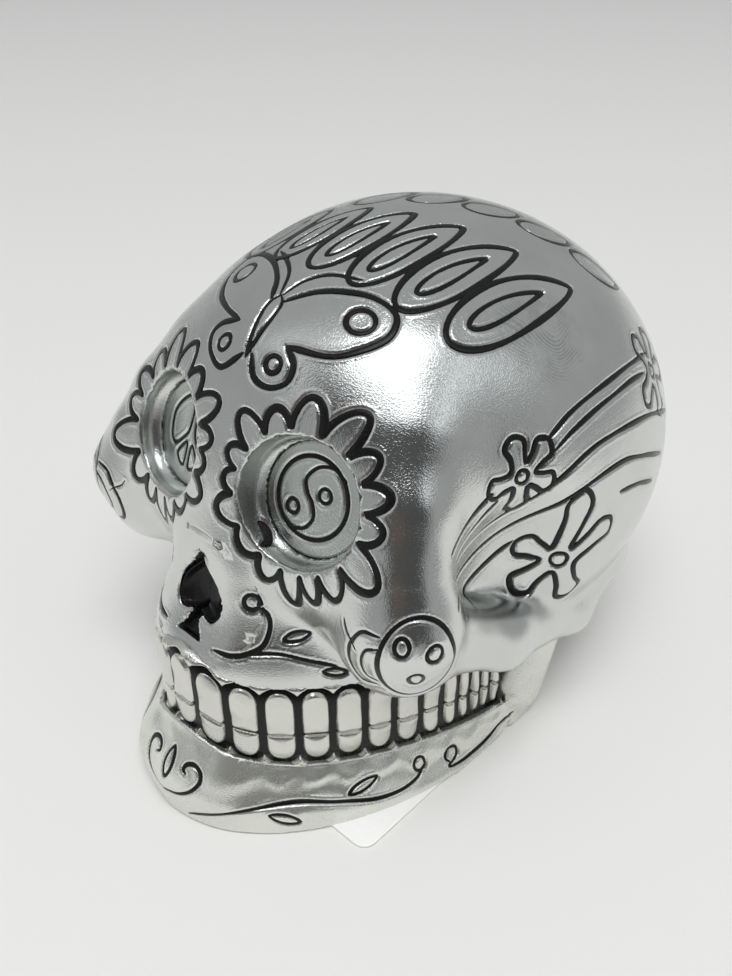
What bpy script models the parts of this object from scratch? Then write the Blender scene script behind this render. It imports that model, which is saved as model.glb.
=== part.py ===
"""Sugar skull ornament: plated castings, two eye discs, a nose inlay and a blank paper label.

The skull faces -Y, its left side is +X, and it stands on z = 0.  The castings are modelled as
signed distance fields: each function below returns, for an array of points, the distance in
millimetres to the surface of one form, negative inside.  Forms are blended, cut and then meshed.
"""

import math

import bmesh
import bpy
import numpy as np
from mathutils import Matrix, Vector

MM = 0.001                      # the fields work in millimetres, the meshes are in metres
GAP = 0.3                       # clearance between touching pieces
STANCE = Vector((0.0, -0.8, 0.0)) * MM      # centres the footprint on the origin

# Driving dimensions, in millimetres
VAULT_CENTRE = (0.0, 8.3, 39.3)
VAULT_RADII = (33.5, 38.3, 32.3)
VAULT_TILT = -18.0              # degrees: the back of the head hangs lower than the brow
EYE_CENTRE = (11.4, -26.0, 47.5)
EYE_TURN = 8.0                  # degrees outwards
EYE_LIFT = 20.0                 # degrees upwards
EYE_DISC_RADIUS = 7.0
EYE_DISC_THICKNESS = 2.0
EYE_DISC_DEPTH = 1.1            # floor of the eye dish, below the eye's centre
EYE_MOUTH_RADIUS = 7.9
TOOTH_ARCH = (6.0, 24.0, 45.5)  # centre y, half width, half depth
BITE_SLOPE = 0.16               # the tooth rows drop towards the back
BITE_FRONT = -39.5
SMILE_RISE = 2.4                # the tooth rows rise at the middle of the mouth
SMILE_WIDTH = 6.0
GUM_UPPER = 23.6
BITE_UPPER = 15.6
BITE_LOWER = 15.3
GUM_LOWER = 10.2
JAW_BACK = 8.0
NOSE_CENTRE = (0.0, -34.0, 32.2)
NOSE_AXIS = (0.0, -0.93, 0.37)
NOSE_DEPTH = 3.0                # how far the nose recess goes in
LABEL_CORNER = (24.7, -30.8)    # the corner that shows beside the jaw
LABEL_SIZE = (30.0, 24.0)
LABEL_THICKNESS = 0.4
LABEL_LIFT = 0.1
LABEL_BEND = 2.0                # radius of its corners


# Distance fields -----------------------------------------------------------------------------

def ellipsoid(p, centre, radii, tilt=0.0):
    """First-order distance to an ellipsoid turned about X by tilt degrees."""
    q = p - np.asarray(centre)
    turn = math.radians(tilt)
    y = q[..., 1] * math.cos(turn) + q[..., 2] * math.sin(turn)
    z = q[..., 2] * math.cos(turn) - q[..., 1] * math.sin(turn)
    q = np.stack([q[..., 0], y, z], -1)
    radii = np.asarray(radii)
    near = np.sqrt(((q / radii) ** 2).sum(-1))
    slope = np.sqrt(((q / radii ** 2) ** 2).sum(-1)) + 1e-9
    return near * (near - 1.0) / slope


def capsule(p, start, end, start_radius, end_radius):
    """Distance to a rod with round ends whose radius changes along it."""
    start, end = np.asarray(start, float), np.asarray(end, float)
    along = end - start
    share = np.clip(((p - start) @ along) / (along @ along), 0.0, 1.0)
    reach = np.sqrt(((p - start - share[..., None] * along) ** 2).sum(-1))
    return reach - (start_radius + (end_radius - start_radius) * share)


def join(a, b, blend):
    """Union of two fields with a fillet about as wide as blend."""
    overlap = np.maximum(blend - np.abs(a - b), 0.0) / blend
    return np.minimum(a, b) - overlap ** 3 * blend / 6.0


def carve(a, b, blend):
    """Field a with b taken away, with a rounded edge."""
    return -join(-a, b, blend)


def trim(a, b, blend):
    """The part of field a that lies inside b too, with a rounded edge."""
    return -join(-a, -b, blend)


def rod_chain(p, points, radii, blend):
    """Rods through the points, blended into one bent bar."""
    field = None
    for start, end, r0, r1 in zip(points[:-1], points[1:], radii[:-1], radii[1:]):
        rod = capsule(p, start, end, r0, r1)
        field = rod if field is None else join(field, rod, blend)
    return field


def mirrored(p, softness):
    """The points with x made positive, rounded off at the middle plane."""
    q = p.copy()
    q[..., 0] = np.sqrt(q[..., 0] ** 2 + softness ** 2)
    return q


def bite_height(p):
    """Height above the sloping bite plane's zero."""
    return p[..., 2] + BITE_SLOPE * (p[..., 1] - BITE_FRONT)


def smile_height(p):
    """Bite height with the rise of the tooth rows at the middle of the mouth taken off."""
    rise = SMILE_RISE * np.exp(-(p[..., 0] / SMILE_WIDTH) ** 2)
    return bite_height(p) - rise * (p[..., 1] < 0.0)


def arch_column(p, low, high, low_height, high_height):
    """Upright column, elliptic in front and straight behind, that changes from low to high."""
    share = np.clip((bite_height(p) - low_height) / (high_height - low_height), 0.0, 1.0)
    share = share * share * (3.0 - 2.0 * share)
    middle, half_width, half_depth = [a + (b - a) * share for a, b in zip(low, high)]
    x, y = p[..., 0], np.minimum(p[..., 1] - middle, 0.0)
    near = np.sqrt((x / half_width) ** 2 + (y / half_depth) ** 2) + 1e-9
    slope = np.sqrt((x / half_width ** 2) ** 2 + (y / half_depth ** 2) ** 2) + 1e-9
    return near * (near - 1.0) / slope


def slab(side, height, bottom, top, edge):
    """Part of the column called side between two heights, with edges rounded by edge."""
    over = np.abs(height - (bottom + top) / 2.0) - (top - bottom) / 2.0 + edge
    out = side + edge
    inside = np.minimum(np.maximum(out, over), 0.0)
    return inside + np.hypot(np.maximum(out, 0.0), np.maximum(over, 0.0)) - edge


def eye_axis(side):
    """Unit vector out of the eye on side +1 (left) or -1 (right)."""
    turn, lift = math.radians(EYE_TURN), math.radians(EYE_LIFT)
    return np.array([side * math.sin(turn) * math.cos(lift), -math.cos(turn) * math.cos(lift),
                     math.sin(lift)])


def eye_mound(p):
    """Low round cushion that carries the petals round the eye."""
    axis = eye_axis(1.0)
    q = p - (np.asarray(EYE_CENTRE) - 4.5 * axis)
    height = q @ axis
    across = np.sqrt(np.maximum((q ** 2).sum(-1) - height ** 2, 0.0))
    return slab(across - 12.0, height, -5.0, 5.0, 4.5)


def face_field(p):
    """Brow, eye mounds, outer orbit edges, cheekbones and upper jaw."""
    face = ellipsoid(p, (6, -11, 47), (16, 17, 18), -10)
    face = join(face, capsule(p, (0, -16, 57), (0, -21, 48), 8.0, 7.0), 8)
    face = join(face, eye_mound(p), 6)
    orbit = [(14.5, -8.5, 58), (18.5, -15, 53), (21.6, -19.9, 47.5), (23.6, -23.2, 41.5),
             (25.2, -24.4, 36), (23.6, -23.2, 31.5)]
    face = join(face, rod_chain(p, orbit, [4.5, 4.5, 4.5, 4.8, 6.0, 6.4], 4), 8)
    face = join(face, capsule(p, (9, -22, 39), (20, -22.5, 34), 6.5, 6.0), 8)
    jaw = slab(arch_column(p, (6, 23.6, 45.3), (4, 19, 38), 24, 38), bite_height(p), 15, 40, 5.0)
    jaw = np.maximum(jaw, p[..., 1] + 2.0)
    jaw = join(jaw, capsule(p, (0, -25.5, 43), (0, -30, 33), 6.0, 6.5), 8)
    jaw = carve(jaw, ellipsoid(p, (0, -46, 35), (12, 11.5, 9.5)), 7)
    return join(face, jaw, 7)


def cranium_field(p):
    """The whole upper casting, down to the gum line and to the foot under the back of the head."""
    p = mirrored(p, 1.5)
    vault = ellipsoid(p, VAULT_CENTRE, VAULT_RADII, VAULT_TILT)
    vault = carve(vault, ellipsoid(p, (34, -10.5, 34), (10.5, 10, 14)), 9)
    head = join(vault, face_field(p), 7)
    arch = [(25.0, -20, 31), (27, -8, 24.5), (27.5, 8, 19.5), (25, 20, 22)]
    head = join(head, rod_chain(p, arch, [5.0, 4.0, 3.2, 4.0], 4), 4)
    head = join(head, capsule(p, (25.5, 20, 18.5), (24, 19, 27), 3.2, 4.0), 3)
    foot = capsule(p, (0, 23, 7), (8, 23, 7), 7.5, 7.0)
    head = join(head, foot, 8)
    mouth = np.maximum(smile_height(p) - GUM_UPPER, p[..., 1] - 0.5)
    return trim(carve(head, mouth, 2.0), -p[..., 2], 1.0)


def jaw_field(p):
    """The lower casting: a flat-based chin and jaw body with a branch up each side."""
    q = mirrored(p, 1.0)
    side = arch_column(q, (0, 26.6, 43.4), (6, 24.0, 45.3), 4, 11)
    body = slab(side, q[..., 2], -4.0, 25.0, 4.0)
    body = trim(body, smile_height(q) - GUM_LOWER, 2.0)
    body = slab(body, q[..., 1], -80.0, JAW_BACK, 3.0)
    body = join(body, capsule(q, (0, -37.4, 6), (5, -36.6, 6), 6.0, 5.2), 5)
    body = join(body, capsule(q, (22.5, 4, 5), (24.3, 7.5, 18), 4.5, 3.4), 4)
    body = trim(body, -p[..., 2], 1.0)
    body = np.maximum(body, GAP + 0.1 - tooth_row_field(p, GUM_LOWER + GAP, GUM_UPPER))
    return np.maximum(body, GAP + 0.1 - cranium_field(p))


def tooth_row_field(p, bottom, top):
    """One row of teeth: a curved bar along the tooth arch, risen in the middle."""
    q = mirrored(p, 0.5)
    side = arch_column(q, TOOTH_ARCH, TOOTH_ARCH, 0, 1)
    row = slab(side, smile_height(q), bottom, top, 1.5)
    return np.maximum(row, p[..., 1] + 0.5)


def upper_teeth_field(p):
    return tooth_row_field(p, BITE_UPPER, GUM_UPPER - GAP)


def lower_teeth_field(p):
    return tooth_row_field(p, GUM_LOWER + GAP, BITE_LOWER)


# Meshing -------------------------------------------------------------------------------------

def sample(field, low, high, cell):
    """Field values on a regular grid from low to high, with the grid's axes."""
    axes = [np.arange(a, b + cell, cell) for a, b in zip(low, high)]
    grid = np.stack(np.meshgrid(*axes, indexing="ij"), -1)
    return axes, field(grid)


def net_points(axes, values):
    """One point for each grid cell that the surface crosses: the mean of its edge crossings."""
    shape = tuple(n - 1 for n in values.shape)
    total, count = np.zeros(shape + (3,)), np.zeros(shape)
    corners = [(i, j, k) for i in (0, 1) for j in (0, 1) for k in (0, 1)]

    def corner(c):
        index = tuple(slice(o, o + n) for o, n in zip(c, shape))
        place = np.stack(np.meshgrid(*[a[s] for a, s in zip(axes, index)], indexing="ij"), -1)
        return values[index], place

    for a in corners:
        for axis in range(3):
            if a[axis]:
                continue
            b = tuple(1 if n == axis else v for n, v in enumerate(a))
            (va, pa), (vb, pb) = corner(a), corner(b)
            crossed = (va < 0.0) != (vb < 0.0)
            share = np.where(crossed, va / np.where(crossed, va - vb, 1.0), 0.0)
            total += np.where(crossed[..., None], pa + (pb - pa) * share[..., None], 0.0)
            count += crossed
    used = count > 0
    number = np.full(shape, -1)
    number[used] = np.arange(used.sum())
    return total[used] / count[used][:, None], number


def net_faces(values, number):
    """A quad round each grid edge that the surface crosses, facing outwards."""
    faces = []
    inside = values < 0.0
    for axis in range(3):
        u, v = (axis + 1) % 3, (axis + 2) % 3
        first = np.take(inside, range(inside.shape[axis] - 1), axis)
        second = np.take(inside, range(1, inside.shape[axis]), axis)
        for start, end, flip in ((first, second, False), (second, first, True)):
            at = np.argwhere(start & ~end)
            ring = []
            for du, dv in ((-1, -1), (0, -1), (0, 0), (-1, 0)):
                cell = at.copy()
                cell[:, u] += du
                cell[:, v] += dv
                ring.append(number[tuple(cell.T)])
            quads = np.stack(ring, 1)
            faces.append(quads[:, ::-1] if flip else quads)
    return np.concatenate(faces)


def settle(field, points, cell, rounds=6):
    """Move points along the field's gradient until they lie on its surface."""
    step = 0.02
    for _ in range(rounds):
        value = field(points)
        slope = np.stack([(field(points + o) - field(points - o)) / (2.0 * step)
                          for o in np.eye(3) * step], -1)
        size = np.maximum((slope ** 2).sum(-1), 0.25)
        move = -value[:, None] * slope / size[:, None]
        length = np.sqrt((move ** 2).sum(-1, keepdims=True)) + 1e-9
        points = points + move * np.minimum(1.0, 0.25 * cell / length)
    return points


def cast(name, field, low, high, cell, material):
    """Mesh the surface of a field inside a box and make it an object."""
    axes, values = sample(field, low, high, cell)
    points, number = net_points(axes, values)
    points = settle(field, points, cell)
    points[np.abs(points[:, 2]) < 0.08, 2] = 0.0
    mesh = bpy.data.meshes.new(name)
    mesh.from_pydata((points * MM).tolist(), [], net_faces(values, number).tolist())
    return place(name, mesh, material)


def place(name, mesh, material):
    """Link a mesh as a smooth-shaded object with its own material."""
    mesh.validate()
    mesh.shade_smooth()
    mesh.set_sharp_from_angle(angle=math.radians(35))
    mesh.materials.append(material)
    return stand(name, mesh)


def stand(name, mesh):
    """Make an object of the mesh, moved to where the skull stands."""
    piece = bpy.data.objects.new(name, mesh)
    piece.location = STANCE
    bpy.context.scene.collection.objects.link(piece)
    return piece


def finish(name, colour, roughness, metallic):
    """Principled material with one colour."""
    material = bpy.data.materials.new(name)
    material.use_nodes = True
    shader = material.node_tree.nodes["Principled BSDF"]
    shader.inputs["Base Color"].default_value = (*colour, 1.0)
    shader.inputs["Roughness"].default_value = roughness
    shader.inputs["Metallic"].default_value = metallic
    return material


# Cut pieces ----------------------------------------------------------------------------------

def prism(name, outline, depth, frame, bevel=0.0):
    """Closed prism over an outline in the plane of frame, from -depth to +depth along its z."""
    mesh = bpy.data.meshes.new(name)
    sketch = bmesh.new()
    ring = [sketch.verts.new((x * MM, y * MM, -depth * MM)) for x, y in outline]
    base = sketch.faces.new(ring)
    moved = bmesh.ops.extrude_face_region(sketch, geom=[base])
    top = [v for v in moved["geom"] if isinstance(v, bmesh.types.BMVert)]
    bmesh.ops.translate(sketch, verts=top, vec=(0, 0, 2 * depth * MM))
    bmesh.ops.recalc_face_normals(sketch, faces=sketch.faces)
    if bevel:
        rims = [e for e in sketch.edges if abs(e.verts[0].co.z - e.verts[1].co.z) < 1e-9]
        bmesh.ops.bevel(sketch, geom=rims, offset=bevel * MM, segments=2, affect="EDGES")
    bmesh.ops.transform(sketch, matrix=frame, verts=sketch.verts)
    sketch.to_mesh(mesh)
    sketch.free()
    return mesh


def circle(radius, count=32):
    angles = np.linspace(0.0, 2.0 * math.pi, count, endpoint=False)
    return [(radius * math.cos(a), radius * math.sin(a)) for a in angles]


def spade():
    """Outline of the nose: a pointed leaf with two lobes and a flared stem, anticlockwise."""
    half = [(0.0, 6.6), (-1.7, 4.2), (-3.1, 2.2), (-3.8, 0.4), (-3.8, -1.5), (-2.9, -2.7),
            (-1.8, -2.5), (-0.95, -2.2), (-1.1, -3.6), (-2.2, -5.4)]
    return half + [(-x, y) for x, y in reversed(half[1:])]


def widened(outline, gap):
    """Anticlockwise outline with each side moved outwards by gap."""
    points = [Vector(point) for point in outline]
    moved = []
    for before, here, after in zip(points[-1:] + points[:-1], points, points[1:] + points[:1]):
        first, second = (here - before).normalized(), (after - here).normalized()
        out = Vector((first.y + second.y, -first.x - second.x)).normalized()
        moved.append(here + out * gap / max(out.dot(Vector((first.y, -first.x))), 0.4))
    return moved


def frame_at(centre, axis):
    """Matrix whose z runs along axis and whose y points up the face."""
    z = Vector(axis).normalized()
    x = Vector((0, 0, 1)).cross(z).normalized()
    turn = Matrix((x, z.cross(x), z)).transposed().to_4x4()
    return Matrix.Translation(Vector(centre) * MM) @ turn


def cut(piece, mesh):
    """Take the mesh away from the piece, keeping the cutter as a hidden wire guide."""
    cutter = stand(mesh.name, mesh)
    cutter.hide_render = True
    cutter.display_type = "WIRE"
    modifier = piece.modifiers.new(mesh.name, "BOOLEAN")
    modifier.object = cutter
    modifier.operation = "DIFFERENCE"
    modifier.solver = "EXACT"


def eye_place(side, depth):
    """Point depth millimetres below the eye's centre, along its axis."""
    centre = np.array(EYE_CENTRE) * (side, 1.0, 1.0)
    return centre - depth * eye_axis(side)


def label_frame():
    """Matrix at the middle of the label, lying flat just above the ground."""
    x = LABEL_CORNER[0] - LABEL_SIZE[0] / 2.0
    y = LABEL_CORNER[1] + LABEL_SIZE[1] / 2.0
    return Matrix.Translation(Vector((x, y, LABEL_LIFT + LABEL_THICKNESS / 2.0)) * MM)


def label_outline():
    """Rectangle with round corners, anticlockwise."""
    half_long, half_short = LABEL_SIZE[0] / 2.0, LABEL_SIZE[1] / 2.0
    outline = []
    for quarter, (sx, sy) in enumerate(((1, 1), (-1, 1), (-1, -1), (1, -1))):
        for step in range(5):
            angle = math.radians(90.0 * quarter + 22.5 * step)
            outline.append((sx * (half_long - LABEL_BEND) + LABEL_BEND * math.cos(angle),
                            sy * (half_short - LABEL_BEND) + LABEL_BEND * math.sin(angle)))
    return outline


def build():
    """Make every piece."""
    chrome = finish("chrome_cranium", (0.78, 0.78, 0.77), 0.09, 1.0)
    jaw_chrome = finish("chrome_jaw", (0.80, 0.79, 0.77), 0.16, 1.0)
    upper_chrome = finish("chrome_upper_teeth", (0.82, 0.82, 0.80), 0.14, 1.0)
    lower_chrome = finish("chrome_lower_teeth", (0.82, 0.82, 0.80), 0.15, 1.0)
    enamel = finish("black_enamel", (0.012, 0.012, 0.014), 0.12, 0.0)
    paper = finish("white_paper", (0.86, 0.86, 0.84), 0.75, 0.0)

    cranium = cast("cranium", cranium_field, (-38, -45, -3), (38, 52, 76), 2.5, chrome)
    jaw = cast("mandible", jaw_field, (-33, -50, -3), (33, 16, 28), 2.3, jaw_chrome)
    cast("upper_teeth", upper_teeth_field, (-28, -44, 6), (28, 4, 30), 2.2, upper_chrome)
    cast("lower_teeth", lower_teeth_field, (-28, -44, 0), (28, 4, 24), 2.2, lower_chrome)

    for side, name in ((1.0, "left"), (-1.0, "right")):
        axis = eye_axis(side)
        mouth = frame_at(eye_place(side, EYE_DISC_DEPTH - 6.0), axis)
        cut(cranium, prism(name + "_eye_mouth", circle(EYE_MOUTH_RADIUS), 6.0, mouth))
        seat_middle = EYE_DISC_DEPTH + EYE_DISC_THICKNESS / 2.0
        seat = frame_at(eye_place(side, seat_middle), axis)
        half = EYE_DISC_THICKNESS / 2.0
        pocket = circle(EYE_DISC_RADIUS + GAP)
        cut(cranium, prism(name + "_eye_pocket", pocket, half + GAP, seat))
        metal = finish("chrome_" + name + "_eye", (0.74, 0.74, 0.73), 0.12, 1.0)
        disc = prism(name + "_eye_disc", circle(EYE_DISC_RADIUS), half, seat, bevel=0.3)
        place(name + "_eye_disc", disc, metal)

    nose_frame = frame_at(NOSE_CENTRE, NOSE_AXIS)
    cut(cranium, prism("nose_cutter", widened(spade(), GAP), NOSE_DEPTH, nose_frame))
    floor = np.array(NOSE_CENTRE) - np.array(NOSE_AXIS) * (NOSE_DEPTH - 1.0 - GAP)
    place("nose_inlay", prism("nose_inlay", spade(), 1.0, frame_at(floor, NOSE_AXIS)), enamel)

    label = prism("label", label_outline(), LABEL_THICKNESS / 2.0, label_frame())
    place("label", label, paper)
    pocket = widened(label_outline(), 1.0)
    cut(jaw, prism("label_pocket", pocket, LABEL_THICKNESS / 2.0 + GAP, label_frame()))


for old in list(bpy.data.objects):
    bpy.data.objects.remove(old)
build()
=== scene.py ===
# %% [markdown]
# # A plated sugar skull ornament
# The ornament is a small cast skull with a mirror plating.  Line work is cut into the plating
# and filled with gloss black enamel: a daisy round each eye, a butterfly on the forehead,
# bands and flowers on the temples, scrolls on the cheeks and the jaw, and a black outline
# round every tooth.  This script models each casting as a distance field, meshes it, cuts
# the grooves and lays the enamel in them.

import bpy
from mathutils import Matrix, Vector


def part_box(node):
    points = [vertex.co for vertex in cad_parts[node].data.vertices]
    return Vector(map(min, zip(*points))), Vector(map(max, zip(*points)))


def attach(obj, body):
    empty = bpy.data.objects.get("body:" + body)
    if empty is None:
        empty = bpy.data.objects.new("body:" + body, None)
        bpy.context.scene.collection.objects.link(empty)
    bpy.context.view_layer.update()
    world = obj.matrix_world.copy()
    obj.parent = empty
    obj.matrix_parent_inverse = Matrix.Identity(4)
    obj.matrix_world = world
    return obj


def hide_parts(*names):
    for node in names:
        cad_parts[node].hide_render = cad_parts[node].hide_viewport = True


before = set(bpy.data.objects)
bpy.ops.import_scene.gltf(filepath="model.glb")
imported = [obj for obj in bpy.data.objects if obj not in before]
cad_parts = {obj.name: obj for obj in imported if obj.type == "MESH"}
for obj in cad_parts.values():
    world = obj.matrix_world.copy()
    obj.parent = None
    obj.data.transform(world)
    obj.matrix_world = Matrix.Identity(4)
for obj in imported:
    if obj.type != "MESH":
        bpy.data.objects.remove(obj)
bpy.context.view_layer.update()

# %% Sizes that the castings share
import math

import bpy
import numpy as np
from mathutils import Vector
from mathutils.kdtree import KDTree

MM = 0.001                              # everything below is in millimetres until it is a mesh
STANCE = np.array([0.0, -0.8, 0.0])     # the fields' origin, seen from the frame's
VAULT_CENTRE, VAULT_RADII, VAULT_TILT = (0.0, 8.3, 39.3), (33.5, 38.3, 32.3), -18.0
EYE_CENTRE = np.array([11.4, -26.0, 47.5])
EYE_TURN, EYE_LIFT = 8.0, 20.0
EYE_DISC_RADIUS, EYE_DISC_DEPTH, EYE_MOUTH_RADIUS = 7.0, 1.1, 7.9
TOOTH_ARCH = (6.0, 24.0, 45.5)          # middle of the ellipse on Y, half width, half depth
BITE_SLOPE, BITE_FRONT = 0.16, -39.5
SMILE_RISE, SMILE_WIDTH = 2.4, 6.0
GUM_UPPER, GUM_LOWER = 23.6, 10.2
TOOTH_CLEARANCE = 0.4                   # air between the jaw and the teeth or the head
NOSE_CENTRE, NOSE_AXIS = np.array([0.0, -34.0, 32.2]), np.array([0.0, -0.93, 0.37])


# %% [markdown]
# ## The forms
# A die maker roughs a skull out of a few rounded masses and blends them: the vault, the brow,
# two eye cushions, the cheekbones and the jaws.  It could be sculpted, or built from boxes
# under a subdivision, but both hide the sizes.  Distance fields keep them in numbers: each
# function gives, for an array of points, how far they are from one form, negative inside.

# %% Round masses and rods
def ellipsoid(p, centre, radii, tilt=0.0):
    """Distance to an ellipsoid turned about X: k (k - 1) / |gradient of k|, k the scaled radius."""
    q = p - np.asarray(centre)
    turn = math.radians(tilt)
    y = q[..., 1] * math.cos(turn) + q[..., 2] * math.sin(turn)
    z = q[..., 2] * math.cos(turn) - q[..., 1] * math.sin(turn)
    q = np.stack([q[..., 0], y, z], -1)
    radii = np.asarray(radii)
    near = np.sqrt(((q / radii) ** 2).sum(-1))
    slope = np.sqrt(((q / radii ** 2) ** 2).sum(-1)) + 1e-9
    return near * (near - 1.0) / slope


def capsule(p, start, end, start_radius, end_radius):
    """Distance to a round-ended rod: reach to its axis minus a radius that changes along it."""
    start, end = np.asarray(start, float), np.asarray(end, float)
    along = end - start
    share = np.clip(((p - start) @ along) / (along @ along), 0.0, 1.0)
    reach = np.sqrt(((p - start - share[..., None] * along) ** 2).sum(-1))
    return reach - (start_radius + (end_radius - start_radius) * share)


outside = ellipsoid(np.array([15.0, 0.0, 0.0]), (0.0, 0.0, 0.0), (10.0, 10.0, 10.0))
print("15 mm from the middle of a 10 mm ball the field is", round(float(outside), 2))


# %% Blending one form into the next
def join(a, b, blend):
    """Union with a fillet: the smaller distance, less a cubic bump where the two are close."""
    overlap = np.maximum(blend - np.abs(a - b), 0.0) / blend
    return np.minimum(a, b) - overlap ** 3 * blend / 6.0


def carve(a, b, blend):
    """Field a with b taken away, with a rounded edge."""
    return -join(-a, b, blend)


def trim(a, b, blend):
    """The part of a that lies inside b, with a rounded edge."""
    return -join(-a, -b, blend)


def rod_chain(p, points, radii, blend):
    """Rods through the points, blended into one bent bar."""
    field = None
    for start, end, r0, r1 in zip(points[:-1], points[1:], radii[:-1], radii[1:]):
        rod = capsule(p, start, end, r0, r1)
        field = rod if field is None else join(field, rod, blend)
    return field


def mirrored(p, softness):
    """The points with x replaced by sqrt(x^2 + softness^2), so one side is modelled for both."""
    q = p.copy()
    q[..., 0] = np.sqrt(q[..., 0] ** 2 + softness ** 2)
    return q


print("a 4 mm blend fills", round(float(-join(0.0, 0.0, 4.0)), 2), "mm where two surfaces meet")


# %% Heights that follow the bite, and the columns that the jaws are cut from
def bite_height(p):
    """Height above the bite plane, which drops by BITE_SLOPE towards the back."""
    return p[..., 2] + BITE_SLOPE * (p[..., 1] - BITE_FRONT)


def smile_rise(x):
    """How far the tooth rows rise near the middle: SMILE_RISE exp(-(x / SMILE_WIDTH)^2)."""
    return SMILE_RISE * np.exp(-(x / SMILE_WIDTH) ** 2)


def smile_height(p):
    """Bite height with the rise at the middle of the mouth taken off."""
    return bite_height(p) - smile_rise(p[..., 0]) * (p[..., 1] < 0.0)


def arch_column(p, low, high, low_height, high_height):
    """Upright column, elliptic in front and straight behind, that changes from low to high."""
    share = np.clip((bite_height(p) - low_height) / (high_height - low_height), 0.0, 1.0)
    share = share * share * (3.0 - 2.0 * share)
    middle, half_width, half_depth = [a + (b - a) * share for a, b in zip(low, high)]
    x, y = p[..., 0], np.minimum(p[..., 1] - middle, 0.0)
    near = np.sqrt((x / half_width) ** 2 + (y / half_depth) ** 2) + 1e-9
    slope = np.sqrt((x / half_width ** 2) ** 2 + (y / half_depth ** 2) ** 2) + 1e-9
    return near * (near - 1.0) / slope


def slab(side, height, bottom, top, edge):
    """Part of the column called side between two heights, with edges rounded by edge."""
    over = np.abs(height - (bottom + top) / 2.0) - (top - bottom) / 2.0 + edge
    out = side + edge
    inside = np.minimum(np.maximum(out, over), 0.0)
    return inside + np.hypot(np.maximum(out, 0.0), np.maximum(over, 0.0)) - edge


def plate_field(p, centre, axis, radius, half, edge):
    """A round plate: the slab of a cylinder of that radius, half as thick on each side."""
    q = p - centre
    height = q @ axis
    across = np.sqrt(np.maximum((q ** 2).sum(-1) - height ** 2, 0.0))
    return slab(across - radius, height, -half, half, edge)


print("the bite plane drops", round(100 * BITE_SLOPE), "mm in 100 towards the back")


# %% Where the eyes look
turn, lift = math.radians(EYE_TURN), math.radians(EYE_LIFT)
EYE_AXIS = np.array([math.sin(turn) * math.cos(lift), -math.cos(turn) * math.cos(lift),
                     math.sin(lift)])
print("left eye looks along", EYE_AXIS.round(3))


# %% [markdown]
# ## The upper casting
# The vault is an egg that hangs lower behind.  The face is built in front of it: brow, eye
# cushions, outer edges of the orbits, cheekbones and upper jaw.  Behind the cheekbone the
# temple is hollowed, and the cheek arch runs back to a small knob behind the jaw.  Boxes
# and lofts would need a seam at each change of form; rods and ellipsoids with wide blends
# run into one another as cast metal does.

# %% Face and head
def face_field(p):
    """Brow, eye cushions, outer orbit edges, cheekbones and upper jaw."""
    face = ellipsoid(p, (6, -11, 47), (16, 17, 18), -10)
    face = join(face, capsule(p, (0, -16, 57), (0, -21, 48), 8.0, 7.0), 8)
    face = join(face, plate_field(p, EYE_CENTRE - 4.5 * EYE_AXIS, EYE_AXIS, 12.0, 5.0, 4.5), 6)
    orbit = [(14.5, -8.5, 58), (18.5, -15, 53), (21.6, -19.9, 47.5), (23.6, -23.2, 41.5),
             (25.2, -24.4, 36), (23.6, -23.2, 31.5)]
    face = join(face, rod_chain(p, orbit, [4.5, 4.5, 4.5, 4.8, 6.0, 6.4], 4), 8)
    face = join(face, capsule(p, (9, -22, 39), (20, -22.5, 34), 6.5, 6.0), 8)
    jaw = slab(arch_column(p, (6, 23.6, 45.3), (4, 19, 38), 24, 38), bite_height(p), 15, 40, 5.0)
    jaw = np.maximum(jaw, p[..., 1] + 2.0)
    jaw = join(jaw, capsule(p, (0, -25.5, 43), (0, -30, 33), 6.0, 6.5), 8)
    jaw = carve(jaw, ellipsoid(p, (0, -46, 35), (12, 11.5, 9.5)), 7)
    return join(face, jaw, 7)


def head_field(p):
    """The whole upper casting, down to the gum line and to the foot under the back."""
    p = mirrored(p, 1.5)
    vault = ellipsoid(p, VAULT_CENTRE, VAULT_RADII, VAULT_TILT)
    vault = carve(vault, ellipsoid(p, (34, -10.5, 34), (10.5, 10, 14)), 9)
    head = join(vault, face_field(p), 7)
    arch = [(25.0, -20, 31), (27, -8, 24.5), (27.5, 8, 19.5), (25, 20, 22)]
    head = join(head, rod_chain(p, arch, [5.0, 4.0, 3.2, 4.0], 4), 4)
    head = join(head, capsule(p, (25.5, 20, 18.5), (24, 19, 27), 3.2, 4.0), 3)
    head = join(head, capsule(p, (0, 23, 7), (8, 23, 7), 7.5, 7.0), 8)
    mouth = np.maximum(smile_height(p) - GUM_UPPER, p[..., 1] - 0.5)
    return trim(carve(head, mouth, 0.5), -p[..., 2], 1.0)


inside = head_field(np.array([VAULT_CENTRE]))
print("the middle of the vault lies", round(float(-inside[0]), 1), "mm deep")


# %% The spade of the nose, drawn flat
def smooth_line(points, closed=False, steps=12):
    """Catmull-Rom curve through the points: each span is the usual cubic in its four."""
    p = np.asarray(points, float)
    if closed:
        p = np.concatenate([p[-1:], p, p[:2]])
    else:
        p = np.concatenate([2 * p[:1] - p[1:2], p, 2 * p[-1:] - p[-2:-1]])
    t = np.linspace(0.0, 1.0, steps, endpoint=False)[:, None]
    spans = []
    for a, b, c, d in zip(p[:-3], p[1:-2], p[2:-1], p[3:]):
        spans.append(0.5 * (2 * b + (c - a) * t + (2 * a - 5 * b + 4 * c - d) * t ** 2
                            + (3 * b - a - 3 * c + d) * t ** 3))
    line = np.concatenate(spans)
    return line if closed else np.concatenate([line, p[-2:-1]])


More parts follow.
